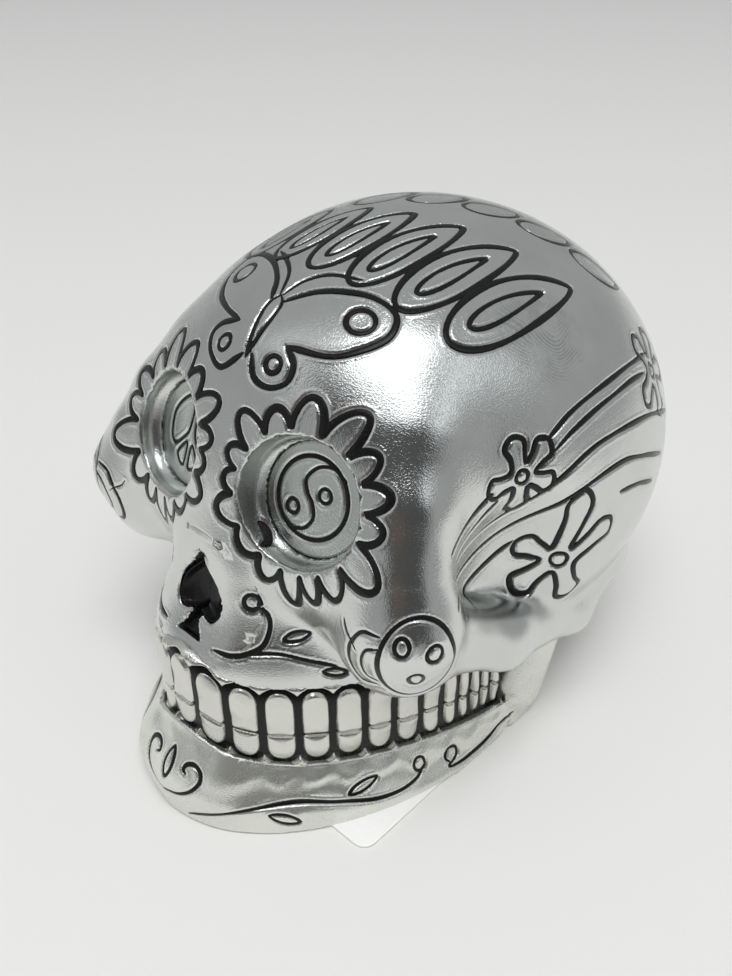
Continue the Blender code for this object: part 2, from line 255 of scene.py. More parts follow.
def spade_outline():
    """Pointed leaf with two lobes on a flared stem, anticlockwise, 12 mm tall."""
    lobe = smooth_line([(0.0, 6.6), (-1.2, 4.2), (-3.1, 1.9), (-3.8, 0.0), (-3.7, -1.5),
                        (-2.8, -2.6), (-1.6, -2.5), (-0.6, -1.9)])
    stem = smooth_line([(-0.6, -1.9), (-0.9, -3.6), (-2.2, -5.4)])
    half = np.concatenate([lobe[:-1], stem])
    return np.concatenate([half, half[::-1][:-1] * (-1, 1)])


def outline_distance(xy, outline):
    """Signed distance in the plane: nearest edge, negative where a ray crosses oddly often."""
    a, b = outline, np.roll(outline, -1, 0)
    best, inside = np.full(len(xy), 1e9), np.zeros(len(xy), bool)
    for (ax, ay), (bx, by) in zip(a, b):
        ex, ey = bx - ax, by - ay
        share = ((xy[:, 0] - ax) * ex + (xy[:, 1] - ay) * ey) / (ex * ex + ey * ey + 1e-12)
        share = np.clip(share, 0.0, 1.0)
        reach = np.hypot(xy[:, 0] - ax - share * ex, xy[:, 1] - ay - share * ey)
        best = np.minimum(best, reach)
        if ay != by:
            crossing = (xy[:, 1] < ay) != (xy[:, 1] < by)
            inside ^= crossing & (xy[:, 0] < ax + (xy[:, 1] - ay) * ex / ey)
    return np.where(inside, -best, best)


# %% Charts: flat drawing boards held against the casting
def board(centre, axis, right=None):
    """Centre and three unit axes; right is level and up leans up the skull unless given."""
    z = np.asarray(axis, float) / np.linalg.norm(axis)
    x = np.cross((0.0, 0.0, 1.0), z) if right is None else np.asarray(right, float)
    x = x / np.linalg.norm(x)
    return np.asarray(centre, float), x, np.cross(z, x), z


NOSE_BOARD = board(NOSE_CENTRE, NOSE_AXIS)
SPADE = spade_outline()
print("nose spade:", len(SPADE), "outline points,", np.ptp(SPADE, axis=0).round(1), "mm")


# %% The head with its eye dishes and the nose hollow
NOSE_FLOOR, NOSE_TOP, NOSE_REACH = -1.7, 8.0, 9.0
DISH_HALF, DISH_EDGE, POCKET_HALF, SLACK = 7.0, 2.0, 1.2, 0.05


def nose_hollow(p):
    """The spade as a straight-sided hole down to NOSE_FLOOR; far points get a sphere instead."""
    centre, x, y, z = NOSE_BOARD
    q = p.reshape(-1, 3) - centre
    field = np.linalg.norm(q, axis=1) - NOSE_REACH
    close = field < 0.0
    flat = outline_distance(np.stack([q[close] @ x, q[close] @ y], 1), SPADE * 1.03)
    depth = q[close] @ z
    field[close] = np.maximum(flat, np.maximum(NOSE_FLOOR - depth, depth - NOSE_TOP))
    return field.reshape(p.shape[:-1])


def cranium_field(p):
    """Head field less the two eye dishes, the pockets for the discs and the nose hollow."""
    q = mirrored(p, 0.0)
    head = head_field(p)
    mouth = EYE_CENTRE + EYE_AXIS * (DISH_HALF - EYE_DISC_DEPTH)
    dish = plate_field(q, mouth, EYE_AXIS, EYE_MOUTH_RADIUS, DISH_HALF, DISH_EDGE)
    head = carve(head, dish, 1.0)
    pocket = EYE_CENTRE - EYE_AXIS * (EYE_DISC_DEPTH + 1.05)
    pocket = plate_field(q, pocket, EYE_AXIS, EYE_DISC_RADIUS + SLACK, POCKET_HALF, SLACK)
    head = carve(head, pocket, 0.1)
    return carve(head, nose_hollow(p), 0.5)


# %% [markdown]
# ## The lower casting
# The jaw body follows the same arch as the teeth.  It stands flat on the table, carries a
# groove for the lower teeth, and sends a branch up behind them to the cheek arch.  An
# outline pushed upwards would give it flat walls, so it is cut from a column whose ellipse
# changes with the height, which gives the swell of the chin.

# %% Jaw
TOOTH_PITCH = 4.7                       # from one front tooth to the next, along the arch


def tooth_bar(p, bottom, top):
    """Plain bar along the tooth arch between two smile heights."""
    q = mirrored(p, 0.5)
    row = slab(arch_column(q, TOOTH_ARCH, TOOTH_ARCH, 0, 1), smile_height(q), bottom, top, 1.5)
    return np.maximum(row, p[..., 1] + 0.5)


def gum_ripple(p):
    """Small waves under the lower teeth, one to a tooth, fading downwards from the gum line."""
    middle, half_width, half_depth = TOOTH_ARCH
    angle = np.arctan2(np.abs(p[..., 0]) / half_width, -(p[..., 1] - middle) / half_depth)
    table = np.linspace(0.0, math.pi, 400)
    pace = np.hypot(half_width * np.cos(table), half_depth * np.sin(table)) * (table[1] - table[0])
    run = np.interp(angle, table, np.concatenate([[0.0], np.cumsum(pace[:-1])]))
    wave = np.cos(2.0 * math.pi * run / TOOTH_PITCH)
    height = smile_height(p)
    crest = np.exp(-((height - 8.7 + 0.45 * wave) / 0.8) ** 2)
    hollow = np.exp(-((height - 6.6 - 0.4 * np.sin(run * 0.7)) / 1.3) ** 2)
    return (0.22 * crest - 0.5 * hollow) * (p[..., 1] < 0.0)


def jaw_field(p):
    """Chin and jaw body with a branch up each side, clear of the teeth and the head."""
    q = mirrored(p, 1.0)
    side = arch_column(q, (0, 26.6, 43.4), (6, 24.0, 45.3), 4, 11) - gum_ripple(p)
    body = slab(side, q[..., 2], -4.0, 25.0, 4.0)
    body = trim(body, smile_height(q) - GUM_LOWER, 0.5)
    body = slab(body, q[..., 1], -80.0, 8.0, 3.0)
    body = join(body, capsule(q, (0, -37.4, 6), (5, -36.6, 6), 6.0, 5.2), 5)
    body = join(body, capsule(q, (22.5, 4, 5), (24.3, 7.5, 18), 4.5, 3.4), 4)
    body = trim(body, -p[..., 2], 1.0)
    body = np.maximum(body, TOOTH_CLEARANCE - tooth_bar(p, GUM_LOWER + 0.3, GUM_UPPER))
    return np.maximum(body, TOOTH_CLEARANCE - head_field(p))


inside = jaw_field(np.array([[0.0, -36.0, 4.0]]))
print("a point in the middle of the chin lies", round(float(-inside[0]), 1), "mm deep")


# %% [markdown]
# ## From a field to a mesh
# The surface is found on a coarse grid, one point in each cell that it crosses, and the
# points then slide down the field's slope until they lie on it.  A remesh modifier could
# make the net too, but equally fine all over.  Here the triangles are split only near the
# engraved lines, so the grooves are crisp and the mesh stays light.

# %% Grid net
def net_of(field, low, high, cell):
    """Points and outward quads of the surface: the mean of each cell's edge crossings."""
    axes = [np.arange(a, b + cell, cell) for a, b in zip(low, high)]
    values = np.stack([field(np.stack(np.meshgrid([x], axes[1], axes[2], indexing="ij"), -1))[0]
                       for x in axes[0]])
    inside = values < 0.0
    shape = tuple(n - 1 for n in values.shape)
    total, count = np.zeros(shape + (3,)), np.zeros(shape)
    corners = [(i, j, k) for i in (0, 1) for j in (0, 1) for k in (0, 1)]
    for a in corners:
        for axis in range(3):
            if a[axis]:
                continue
            b = tuple(1 if n == axis else v for n, v in enumerate(a))
            first = tuple(slice(o, o + n) for o, n in zip(a, shape))
            last = tuple(slice(o, o + n) for o, n in zip(b, shape))
            at = np.nonzero(inside[first] != inside[last])
            start = values[first][at]
            share = start / (start - values[last][at])
            place = np.stack([axes[n][at[n] + a[n]] for n in range(3)], -1)
            place[:, axis] += share * cell
            total[at] += place
            count[at] += 1
    used = count > 0
    number = np.full(shape, -1)
    number[used] = np.arange(used.sum())
    points = total[used] / count[used][:, None]
    faces = []
    for axis in range(3):
        u, v = (axis + 1) % 3, (axis + 2) % 3
        low_side = np.take(inside, range(inside.shape[axis] - 1), axis)
        high_side = np.take(inside, range(1, inside.shape[axis]), axis)
        for start, end, flip in ((low_side, high_side, False), (high_side, low_side, True)):
            at = np.argwhere(start & ~end)
            ring = []
            for du, dv in ((-1, -1), (0, -1), (0, 0), (-1, 0)):
                box = at.copy()
                box[:, u] += du
                box[:, v] += dv
                ring.append(number[tuple(box.T)])
            quads = np.stack(ring, 1)
            faces.append(quads[:, ::-1] if flip else quads)
    return points, np.concatenate(faces)


def ball(p):
    """A ball of 3 mm to try the tools on."""
    return ellipsoid(p, (0.0, 0.0, 0.0), (3.0, 3.0, 3.0))


ball_points, ball_quads = net_of(ball, (-4, -4, -4), (4, 4, 4), 1.0)
print("a 3 mm ball in 1 mm cells:", len(ball_points), "points,", len(ball_quads), "quads")


# %% Slope, settling and splitting
def slope_of(field, points, step=0.02):
    """Gradient by central differences."""
    return np.stack([(field(points + o) - field(points - o)) / (2.0 * step)
                     for o in np.eye(3) * step], -1)


def settle(field, points, reach, rounds):
    """Newton steps along the slope, each at most reach long."""
    for _ in range(rounds):
        slope = slope_of(field, points)
        move = -field(points)[:, None] * slope / np.maximum((slope ** 2).sum(-1), 0.25)[:, None]
        length = np.sqrt((move ** 2).sum(-1, keepdims=True)) + 1e-9
        points = points + move * np.minimum(1.0, reach / length)
    return points


def split(points, faces, wanted):
    """Halve the edges that wanted picks, and cut each triangle into 1, 2, 3 or 4 to suit."""
    pairs = np.sort(faces[:, [0, 1, 1, 2, 2, 0]].reshape(-1, 2), 1)
    key = pairs[:, 0] * len(points) + pairs[:, 1]
    unique, back = np.unique(key, return_inverse=True)
    ends = np.stack([unique // len(points), unique % len(points)], 1)
    chosen = wanted(points, ends)
    middle = np.full(len(ends), -1)
    middle[chosen] = len(points) + np.arange(chosen.sum())
    points = np.concatenate([points, points[ends[chosen]].mean(1)])
    cuts = middle[back].reshape(-1, 3)
    count = (cuts >= 0).sum(1)
    out = [faces[count == 0].T]
    for number, lead in ((1, cuts >= 0), (2, cuts < 0)):
        pick = count == number
        first = lead[pick].argmax(1) + (number - 1)
        order = (first[:, None] + np.arange(3)) % 3
        f0, f1, f2 = np.take_along_axis(faces[pick], order, 1).T
        m0, m1, m2 = np.take_along_axis(cuts[pick], order, 1).T
        if number == 1:
            out += [(f0, m0, f2), (m0, f1, f2)]
        else:
            out += [(m0, f1, m1), (f0, m0, m1), (f0, m1, f2)]
    f0, f1, f2 = faces[count == 3].T
    m0, m1, m2 = cuts[count == 3].T
    out += [(f0, m0, m2), (m0, f1, m1), (m2, m1, f2), (m0, m1, m2)]
    return points, np.concatenate([np.stack(corners, 1) for corners in out])


error = np.abs(ball(settle(ball, ball_points, 0.25, 5))).max()
print("settled points lie within", round(float(error), 5), "mm of the ball")


# %% [markdown]
# ## Engraved lines
# A line is drawn on a board, dropped onto the casting and resampled.  The graver leaves a
# groove with soft shoulders; the enamel sits in it a little below the plating, domed by its
# own surface tension, and swells and thins as a hand-cut line does.  A bump texture could
# fake the groove, but the mesh itself would stay smooth, so it is pressed into the points.

# %% Lay a drawn line on the surface
LINE_STEP = 0.24
SWELL, SWELL_LENGTH, END_SHARE = 0.16, 1.9, 0.35


def resample(path, closed, step):
    """The same path at equal steps along its length."""
    if closed:
        path = np.concatenate([path, path[:1]])
    length = np.concatenate([[0.0], np.cumsum(np.linalg.norm(np.diff(path, axis=0), axis=1))])
    count = max(int(round(length[-1] / step)), 4)
    at = np.linspace(0.0, length[-1], count + 1)
    if closed:
        at = at[:-1]
    return np.stack([np.interp(at, length, path[:, n]) for n in range(3)], 1)


def drop(place, line, field, above=9.0):
    """Points of the surface under the drawn points: march down the board's axis to zero."""
    centre, x, y, z = place
    line = np.asarray(line, float)
    p = centre + line[:, :1] * x + line[:, 1:2] * y + above * z
    for _ in range(70):
        p = p - 0.8 * np.clip(field(p), -1.0, 3.0)[:, None] * z
    return p


def lay(place, line, field, width=0.3, closed=False, taper=1.6):
    """One engraved line: path on the surface, outward normals, and a half width that swells
    as a slow sine of the length and narrows to END_SHARE at open ends."""
    path = resample(drop(place, line, field), closed, LINE_STEP)
    normal = slope_of(field, path)
    normal /= np.linalg.norm(normal, axis=1, keepdims=True)
    run = np.arange(len(path)) * LINE_STEP
    half = width * (1.0 + SWELL * np.sin(run / SWELL_LENGTH + path[0].sum()))
    if not closed:
        end = np.minimum(run, run[::-1]) / taper
        half = half * (END_SHARE + (1.0 - END_SHARE) * np.clip(end, 0.0, 1.0) ** 0.7)
    return {"path": path, "normal": normal, "half": half, "closed": closed}


def lines_on(place, field, *strokes):
    """Several lines on one board; a stroke is (drawn points, half width, closed or not)."""
    return [lay(place, line, field, *rest) for line, *rest in strokes]


def other_side(lines):
    """The same lines on the right of the skull; running backwards keeps them face up."""
    flip = np.array([-1.0, 1.0, 1.0])
    return [{"path": l["path"][::-1] * flip, "normal": l["normal"][::-1] * flip,
             "half": l["half"][::-1], "closed": l["closed"]} for l in lines]


# %% Groove and enamel
GROOVE_DEPTH, SHOULDER, BEAD = 0.34, 0.24, 0.035
FULL_HALF, BEAD_AWAY, BEAD_SPREAD = 0.3, 0.40, 0.17
ENAMEL_RISE = 0.035                     # how far the enamel's edge stands above the groove wall
LENS = ((-1.0, 0.0), (-0.6, 0.03), (0.0, 0.045), (0.6, 0.03), (1.0, 0.0), (0.7, -0.3), (-0.7, -0.3))


def groove(distance, half):
    """Height of the metal beside a line: a soft-sided trough and a slight bead beyond it."""
    share = np.clip(distance / (half + SHOULDER), 0.0, 1.0)
    depth = GROOVE_DEPTH * np.minimum(1.0, half / FULL_HALF)
    bead = BEAD * np.exp(-((distance - half - BEAD_AWAY) / BEAD_SPREAD) ** 2)
    return bead - depth * (1.0 - share * share * (3.0 - 2.0 * share))


def ribbon(line):
    """Enamel carried along a line: a seven-sided lens whose edges sit on the groove's walls."""
    path, normal, half = line["path"], line["normal"], line["half"][:, None]
    if line["closed"]:
        ahead = np.roll(path, -1, 0) - np.roll(path, 1, 0)
    else:
        ahead = np.gradient(path, axis=0)
    side = np.cross(ahead, normal)
    side /= np.linalg.norm(side, axis=1, keepdims=True)
    edge = groove(half, half) + ENAMEL_RISE
    rings = np.stack([path + side * half * a + normal * (edge + b) for a, b in LENS], 1)
    count, sides = len(path), len(LENS)
    number = np.arange(count * sides).reshape(count, sides)
    after = np.roll(number, -1, 0)
    if not line["closed"]:
        number, after = number[:-1], after[:-1]
    quads = np.stack([number, np.roll(number, -1, 1), np.roll(after, -1, 1), after], -1)
    faces = quads.reshape(-1, 4).tolist()
    if not line["closed"]:
        faces += [list(range(sides))[::-1], list(range((count - 1) * sides, count * sides))]
    return rings.reshape(-1, 3), faces


def ribbons(lines):
    """Points and faces of the enamel in several lines, one after another."""
    points, faces, start = [], [], 0
    for line in lines:
        p, f = ribbon(line)
        points.append(p)
        faces += [[n + start for n in face] for face in f]
        start += len(p)
    return np.concatenate(points), faces


print("a groove of half width 0.2 mm is", round(float(-groove(0.0, 0.2)), 2), "mm deep")


# %% Distance from any point to the nearest line
class Lines:
    """All the lines cut in one casting, with the distance to the nearest one."""

    def __init__(self, lines):
        """Put the lines end to end, note each point's neighbours, and sort them in a tree."""
        self.path = np.concatenate([l["path"] for l in lines])
        self.half = np.concatenate([l["half"] for l in lines])
        ahead = []
        start = 0
        for l in lines:
            count = len(l["path"])
            index = np.arange(start, start + count)
            ahead.append(np.append(index[1:], index[0] if l["closed"] else index[-1]))
            start += count
        self.ahead = np.concatenate(ahead)
        self.behind = np.arange(start)
        self.behind[self.ahead] = np.arange(start)
        self.tree = KDTree(start)
        for number, point in enumerate(self.path):
            self.tree.insert(point, number)
        self.tree.balance()

    def near(self, points):
        """Distance, half width and foot, from the two segments beside the nearest point."""
        index = np.array([self.tree.find(p)[1] for p in points])
        best, half, foot = np.full(len(points), 1e9), self.half[index], self.path[index]
        for first, last in ((index, self.ahead[index]), (self.behind[index], index)):
            a, along = self.path[first], self.path[last] - self.path[first]
            share = ((points - a) * along).sum(1) / ((along ** 2).sum(1) + 1e-12)
            share = np.clip(share, 0.0, 1.0)[:, None]
            spot = a + share * along
            reach = np.linalg.norm(points - spot, axis=1)
            closer = reach < best
            width = self.half[first] * (1 - share[:, 0]) + self.half[last] * share[:, 0]
            half = np.where(closer, width, half)
            foot = np.where(closer[:, None], spot, foot)
            best = np.minimum(best, reach)
        return best, half, foot


# %% [markdown]
# ## The drawings
# Each motif is drawn once on a board beside its place, from a few points or a formula, and
# most of them repeat on the other side of the skull.  Curve objects would need their own
# wrap onto the metal and a second mirrored set; arrays of points need one helper for both.

# %% Small shapes that the drawings share
def ring(centre, radius, stretch=1.0, count=28):
    """Circle, or an ellipse stretched upwards."""
    angle = np.linspace(0.0, 2.0 * math.pi, count, endpoint=False)
    return np.stack([centre[0] + radius * np.cos(angle),
                     centre[1] + radius * stretch * np.sin(angle)], 1)


def leaf(base, tip, half, blunt=0.8, sharp=0.8, count=40):
    """Closed leaf: half width c a^blunt (1 - a)^sharp at the share a of the way to the tip."""
    base, tip = np.asarray(base, float), np.asarray(tip, float)
    along = tip - base
    across = np.array([-along[1], along[0]]) / np.linalg.norm(along)
    angle = np.linspace(0.0, 2.0 * math.pi, count, endpoint=False)
    a = (1.0 - np.cos(angle)) / 2.0
    peak = blunt / (blunt + sharp)
    scale = half / (peak ** blunt * (1.0 - peak) ** sharp)
    wide = scale * a ** blunt * (1.0 - a) ** sharp * np.sign(np.sin(angle))
    return base + a[:, None] * along + wide[:, None] * across


def petals(centre, tips, heart, roundness):
    """Closed flower: between neighbouring tips the radius falls to heart as a power of cosine."""
    tips = np.asarray(tips, float) - centre
    angles = np.unwrap(np.arctan2(tips[:, 1], tips[:, 0]))
    reach = np.linalg.norm(tips, axis=1)
    if angles[-1] < angles[0]:
        angles, reach = angles[::-1], reach[::-1]
    before = np.append(angles[-1] - 2.0 * math.pi, angles[:-1])
    after = np.append(angles[1:], angles[0] + 2.0 * math.pi)
    heart = np.broadcast_to(heart, reach.shape)
    path = []
    for a0, a, a1, far, near in zip(before, angles, after, reach, heart):
        for u in np.linspace(-1.0, 1.0, 18, endpoint=False):
            angle = a + (u * (a - a0) / 2.0 if u < 0 else u * (a1 - a) / 2.0)
            radius = near + (far - near) * math.cos(math.pi * u / 2.0) ** roundness
            path.append((radius * math.cos(angle), radius * math.sin(angle)))
    return np.asarray(path) + centre


def flower(centre, tips, heart, half):
    """Closed flower of finger petals: out one side of each, round its tip, back to a valley."""
    centre, tips = np.asarray(centre, float), np.asarray(tips, float)
    tips = tips[np.argsort(-np.arctan2(*(tips - centre).T[::-1]))]
    path = []
    for tip, following in zip(tips, np.roll(tips, -1, 0)):
        along = tip - centre
        side = np.array([-along[1], along[0]]) / np.linalg.norm(along)
        for reach, wide in ((0.55, 0.75), (0.84, 1.0), (1.0, 0.0), (0.84, -1.0), (0.55, -0.75)):
            path.append(centre + along * reach + side * half * wide)
        valley = along / np.linalg.norm(along)
        valley = valley + (following - centre) / np.linalg.norm(following - centre)
        path.append(centre + heart * valley / np.linalg.norm(valley))
    return smooth_line(path, True, 8)


def arc(centre, radius, start, end, count=24):
    """Part of a circle between two angles in degrees."""
    angle = np.radians(np.linspace(start, end, count))
    return np.asarray(centre) + radius * np.stack([np.cos(angle), np.sin(angle)], 1)


drawings = {}
print("a leaf is", len(leaf((0.0, 0.0), (0.0, 5.0), 1.0)), "points")

# %% [markdown]
# Round each eye runs a daisy with sixteen uneven petals, pointed valleys between them.  A
# formula of equal petals would look stamped, so every petal has its own reach and direction.

# %% Eye daisies
eye_board = board(EYE_CENTRE, EYE_AXIS)
DAISY_TIPS = [(11.3, 0.4), (11.0, 4.3), (8.2, 8.2), (5.4, 12.1), (-0.9, 12.4), (-4.9, 10.1),
              (-9.6, 8.3), (-10.3, 3.7), (-10.2, 0.3), (-10.6, -3.8), (-6.4, -7.9),
              (-3.1, -10.8), (0.5, -13.1), (3.7, -11.4), (6.9, -9.5), (12.4, -5.6)]
daisy = lay(eye_board, petals((0.0, 0.0), DAISY_TIPS, 8.85, 0.75), head_field, 0.43, True)
drawings["left_daisy"] = [daisy]
drawings["right_daisy"] = other_side([daisy])
print("each daisy line is", round(len(daisy["path"]) * LINE_STEP), "mm long")

# %% [markdown]
# The butterfly spreads over the forehead, a ring in each of its four wings.  Its two sides
# differ, so it is drawn whole and not mirrored.

# %% Butterfly
forehead = board((0, -21.1, 64.7), (0.0, -0.6, 0.8))
WINGS = [[(-0.1, 3.4), (2.5, 6.2), (5.5, 7.9), (9.0, 8.9), (12.2, 8.2), (13.2, 5.2),
          (11.4, 1.8), (8.9, -0.3), (4.3, -1.4)],
         [(4.3, -1.4), (6.2, -2.9), (6.4, -5.0), (4.5, -6.4), (2.0, -6.1), (0.3, -3.8)],
         [(-2.1, 3.3), (-4.2, 6.2), (-7.9, 8.7), (-12.0, 9.7), (-14.4, 8.2), (-14.4, 5.0),
          (-12.2, 2.2), (-8.5, 0.4), (-4.4, -0.7)],
         [(-4.4, -0.7), (-7.2, -1.7), (-8.0, -3.4), (-6.5, -5.5), (-3.6, -6.6), (-0.9, -4.2)]]
BODY = [[(-1.2, 4.2), (-1.9, 2.6), (-1.5, 0.0), (-0.3, -4.6)],
        [(-1.2, 4.2), (-0.1, 3.0), (0.2, 0.5), (-0.3, -4.6)]]
FEELERS = [[(-1.4, 4.2), (-3.4, 7.6), (-6.6, 9.8), (-8.6, 10.6)],
           [(-1.0, 4.2), (-0.2, 7.0), (2.1, 9.3), (6.1, 10.4)]]
WING_RINGS = [((9.6, 5.4), 1.6), ((3.8, -3.9), 1.0), ((-11.4, 6.2), 1.6), ((-4.9, -3.8), 1.0)]
lines = [lay(forehead, smooth_line(w), head_field, 0.38) for w in WINGS]
lines += [lay(forehead, smooth_line(b), head_field, 0.25) for b in BODY]
lines += [lay(forehead, smooth_line(f), head_field, 0.24) for f in FEELERS]
lines += [lay(forehead, ring(c, r), head_field, 0.30, True) for c, r in WING_RINGS]
drawings["butterfly"] = lines
print("butterfly:", len(lines), "lines")

# %% [markdown]
# Over the crown stand two rows of tall leaves, like a plume, and each leaf of the front row
# has a drop inside.  The front leaves grow longer from the right of the head to the left, so
# one loop with a length that rises by equal steps draws them all.

# %% Crown plume
crown = board((0, 0, 70), (0, 0, 1), (1, 0, 0))
lines = []
for number in range(6):
    x = -14.5 + 6.5 * number
    base = (x, -12.4 + 2.6 * (x / 18.0) ** 2)
    length = 11.5 + 1.9 * number
    tip = (x + 3.8 - 0.3 * number, base[1] + length)
    heart = np.subtract(tip, base)
    inner = leaf(base + 0.16 * heart, base + 0.74 * heart, 1.0, 0.5, 0.9)
    lines += lines_on(crown, head_field, (leaf(base, tip, 2.85, 0.5, 0.75), 0.38, True),
                      (inner, 0.26, True))
for number in range(5):
    base = np.array([-8.0, 2.6]) + np.array([6.0, 3.9]) * number
    tip = base + (2.6, 8.6 - 0.3 * number)
    lines.append(lay(crown, leaf(base, tip, 2.4, 0.5, 0.75), head_field, 0.32, True))
drawings["crown_plume"] = lines
print("plume:", len(lines), "lines")

# %% [markdown]
# Long bands sweep over the temple, and flowers of five long petals sit on them.  Each petal
# goes out along one side, round its tip and back, because a flower drawn as one wavy circle
# can't have petals that are narrower at the heart than at the tip.

# %% Temple bands and flowers
temple = board((30, 0, 45), (0.93, -0.25, 0.15))
BANDS = [[(19.0, 11.0), (12.6, 11.6), (5.7, 11.3), (0.0, 10.2), (-4.3, 8.2)],
         [(17.0, 9.4), (12.0, 9.9), (5.0, 9.4), (0.0, 8.2), (-3.6, 6.6)],
         [(-12.0, 3.6), (-15.3, 1.6), (-19.5, -0.8)],
         [(-11.0, 2.2), (-14.6, -0.6), (-19.6, -3.8)],
         [(25.7, 0.7), (15.5, 4.5), (4.6, 5.4), (-2.4, 3.2), (-8.6, -1.2), (-20.4, -6.6)],
         [(20.9, -3.2), (14.0, -0.2), (7.7, 1.4), (0.1, 0.2), (-7.5, -4.6), (-17.5, -10.6)],
         [(17.5, -5.7), (12.5, -3.6), (7.8, -2.6)],
         [(-5.6, -7.2), (-9.0, -9.8), (-13.5, -12.6)]]
bands = [lay(temple, smooth_line(b), head_field, 0.30) for b in BANDS]
FLOWERS = [(board((30, -0.1, 34.1), (0.85, -0.45, 0.0)), (0.0, 0.0), 2.3, 1.75,
            [(1.5, 11.4), (6.8, 5.2), (3.0, -7.6), (-5.4, -4.8), (-5.6, 2.9)]),
           (board((28.3, -7.9, 49.7), (0.92, -0.38, 0.05)), (0.0, 0.0), 1.8, 1.35,
            [(-1.0, 4.9), (3.9, 3.6), (4.4, -2.0), (0.2, -5.6), (-4.6, -0.9)]),
           (board((27.8, 19.2, 54), (0.82, 0.3, 0.48)), (2.2, -1.8), 2.0, 1.5,
            [(0.4, 3.9), (6.8, 2.4), (7.8, -3.8), (2.0, -8.0), (-3.8, -3.6)])]
flowers = []
for place, centre, heart, half, tips in FLOWERS:
    flowers += lines_on(place, head_field, (flower(centre, tips, heart, half), 0.33, True),
                        (ring(centre, 0.45 * heart, 1.1), 0.24, True))
drawings["left_temple_bands"] = bands
drawings["left_temple_flowers"] = flowers
drawings["right_temple_bands"] = other_side(bands)
drawings["right_temple_flowers"] = other_side(flowers)
print("temple: bands", len(bands), "flower lines", len(flowers))

# %% [markdown]
# On each cheekbone sits a ladybird: a round back with three ringed spots and a crescent head.
# It is line work on the metal like the rest, not a raised shape, so circles and two short
# curves are enough.

# %% Cheekbone ladybirds
cheekbone = board((28, -27.5, 34), (0.62, -0.78, 0.1))
BACK, BACK_RADIUS, BACK_STRETCH = (1.1, 0.8), 4.4, 1.4
HEAD = [(-3.0, 4.6), (-5.2, 4.2), (-6.6, 1.6), (-6.6, -1.4), (-5.2, -3.6), (-3.3, -3.3)]
FACE = [(-3.1, 3.2), (-4.7, 2.2), (-5.2, 0.0), (-4.6, -2.0), (-3.2, -2.4)]
SPOTS = [(-0.5, 3.8), (3.2, 2.6), (1.2, -1.2)]
ladybird = lines_on(cheekbone, head_field, (ring(BACK, BACK_RADIUS, BACK_STRETCH, 44), 0.27, True),
                    (smooth_line(HEAD), 0.26), (smooth_line(FACE), 0.18),
                    *[(ring(spot, 0.85, 1.3), 0.22, True) for spot in SPOTS])
drawings["left_ladybird"] = ladybird
drawings["right_ladybird"] = other_side(ladybird)
print("ladybird:", len(ladybird), "lines")

# %% [markdown]
# Beside the nose a scroll curls up to a small ring, with leaves under it and on the cheek.  A
# true spiral would be too even for a hand-cut scroll, so it runs through a few points.

# %% Cheek scrolls
cheek = board((8.2, -33.3, 31.5), (0.77, -0.58, 0.27))
SCROLL = [(0.9, 2.2), (1.9, 1.2), (2.2, -0.6), (1.2, -2.9), (-0.8, -3.9), (-3.0, -4.2),
          (-5.0, -3.7)]
SWEEP = [(-0.8, -4.0), (1.4, -4.0), (3.6, -4.4), (6.6, -5.6), (10.2, -7.0)]
EDGE = [(10.1, 4.0), (10.2, 2.8), (10.9, 1.0)]
scroll = lines_on(cheek, head_field, (ring((0.2, 2.8), 0.95, 1.1), 0.30, True),
                  (smooth_line(SCROLL), 0.33), (smooth_line(SWEEP), 0.24),
                  (leaf((3.7, -2.5), (7.0, -1.9), 0.65), 0.22, True),
                  (leaf((8.3, -7.4), (11.4, -8.2), 0.55), 0.22, True), (smooth_line(EDGE), 0.14))
drawings["left_cheek_scroll"] = scroll
drawings["right_cheek_scroll"] = other_side(scroll)
print("cheek scroll:", len(scroll), "lines")

# %% [markdown]
# A short, thick line of black enamel lies on the lower wall of the left eye dish, towards the nose.

# %% Black line in the left eye dish
DISH_MARK = [(-6.2, -4.7), (-5.2, -5.6), (-4.2, -6.7)]
flake = lay(eye_board, smooth_line(DISH_MARK), cranium_field, 0.6)
drawings["left_eye_flake"] = [flake]
print("the flake is", round(len(flake["path"]) * LINE_STEP, 1), "mm long")

# %% [markdown]
# The chin has two spirals and a leaf, and a long line runs back along the jaw to more leaves.

# %% Chin and jaw scrolls
chin = board((0, -43, 8.5), (0, -0.95, 0.3))
jaw_side = board((19, -27, 5), (0.72, -0.5, 0.4))
CURL = [(3.1, -0.2), (2.5, 0.3), (2.8, 1.1), (3.8, 1.4), (4.9, 0.8), (5.2, -0.6), (4.3, -2.3),
        (2.4, -3.7), (-0.2, -4.4)]
JAW_LINE = [(-22.0, -1.9), (-14.6, -0.4), (-7.5, -0.3), (-2.0, -1.4), (3.0, -2.3), (7.0, -2.2),
            (9.6, -1.4), (10.7, 0.0)]
TAIL = [(15.0, -1.2), (14.2, -0.4), (14.8, 0.7), (16.0, 0.6), (16.0, -0.6), (14.6, -1.6),
        (17.6, -1.5), (22.0, -0.2), (26.5, 2.2)]
jaw_lines = lines_on(chin, jaw_field, (smooth_line(CURL), 0.27))
jaw_lines += lines_on(jaw_side, jaw_field, (smooth_line(JAW_LINE), 0.24),
                      (ring((10.0, 0.3), 0.85, 1.2), 0.22, True),
                      (leaf((-11.6, -1.6), (-7.6, -3.4), 0.7), 0.2, True),
                      (leaf((-0.6, -0.9), (3.6, 0.4), 0.6), 0.2, True), (smooth_line(TAIL), 0.2))
middle_leaf = lay(chin, leaf((0.0, 2.4), (0.0, -2.2), 0.7), jaw_field, 0.2, True)
jaw_drawings = {"left_jaw_scroll": jaw_lines, "right_jaw_scroll": other_side(jaw_lines),
                "chin_leaf": [middle_leaf]}
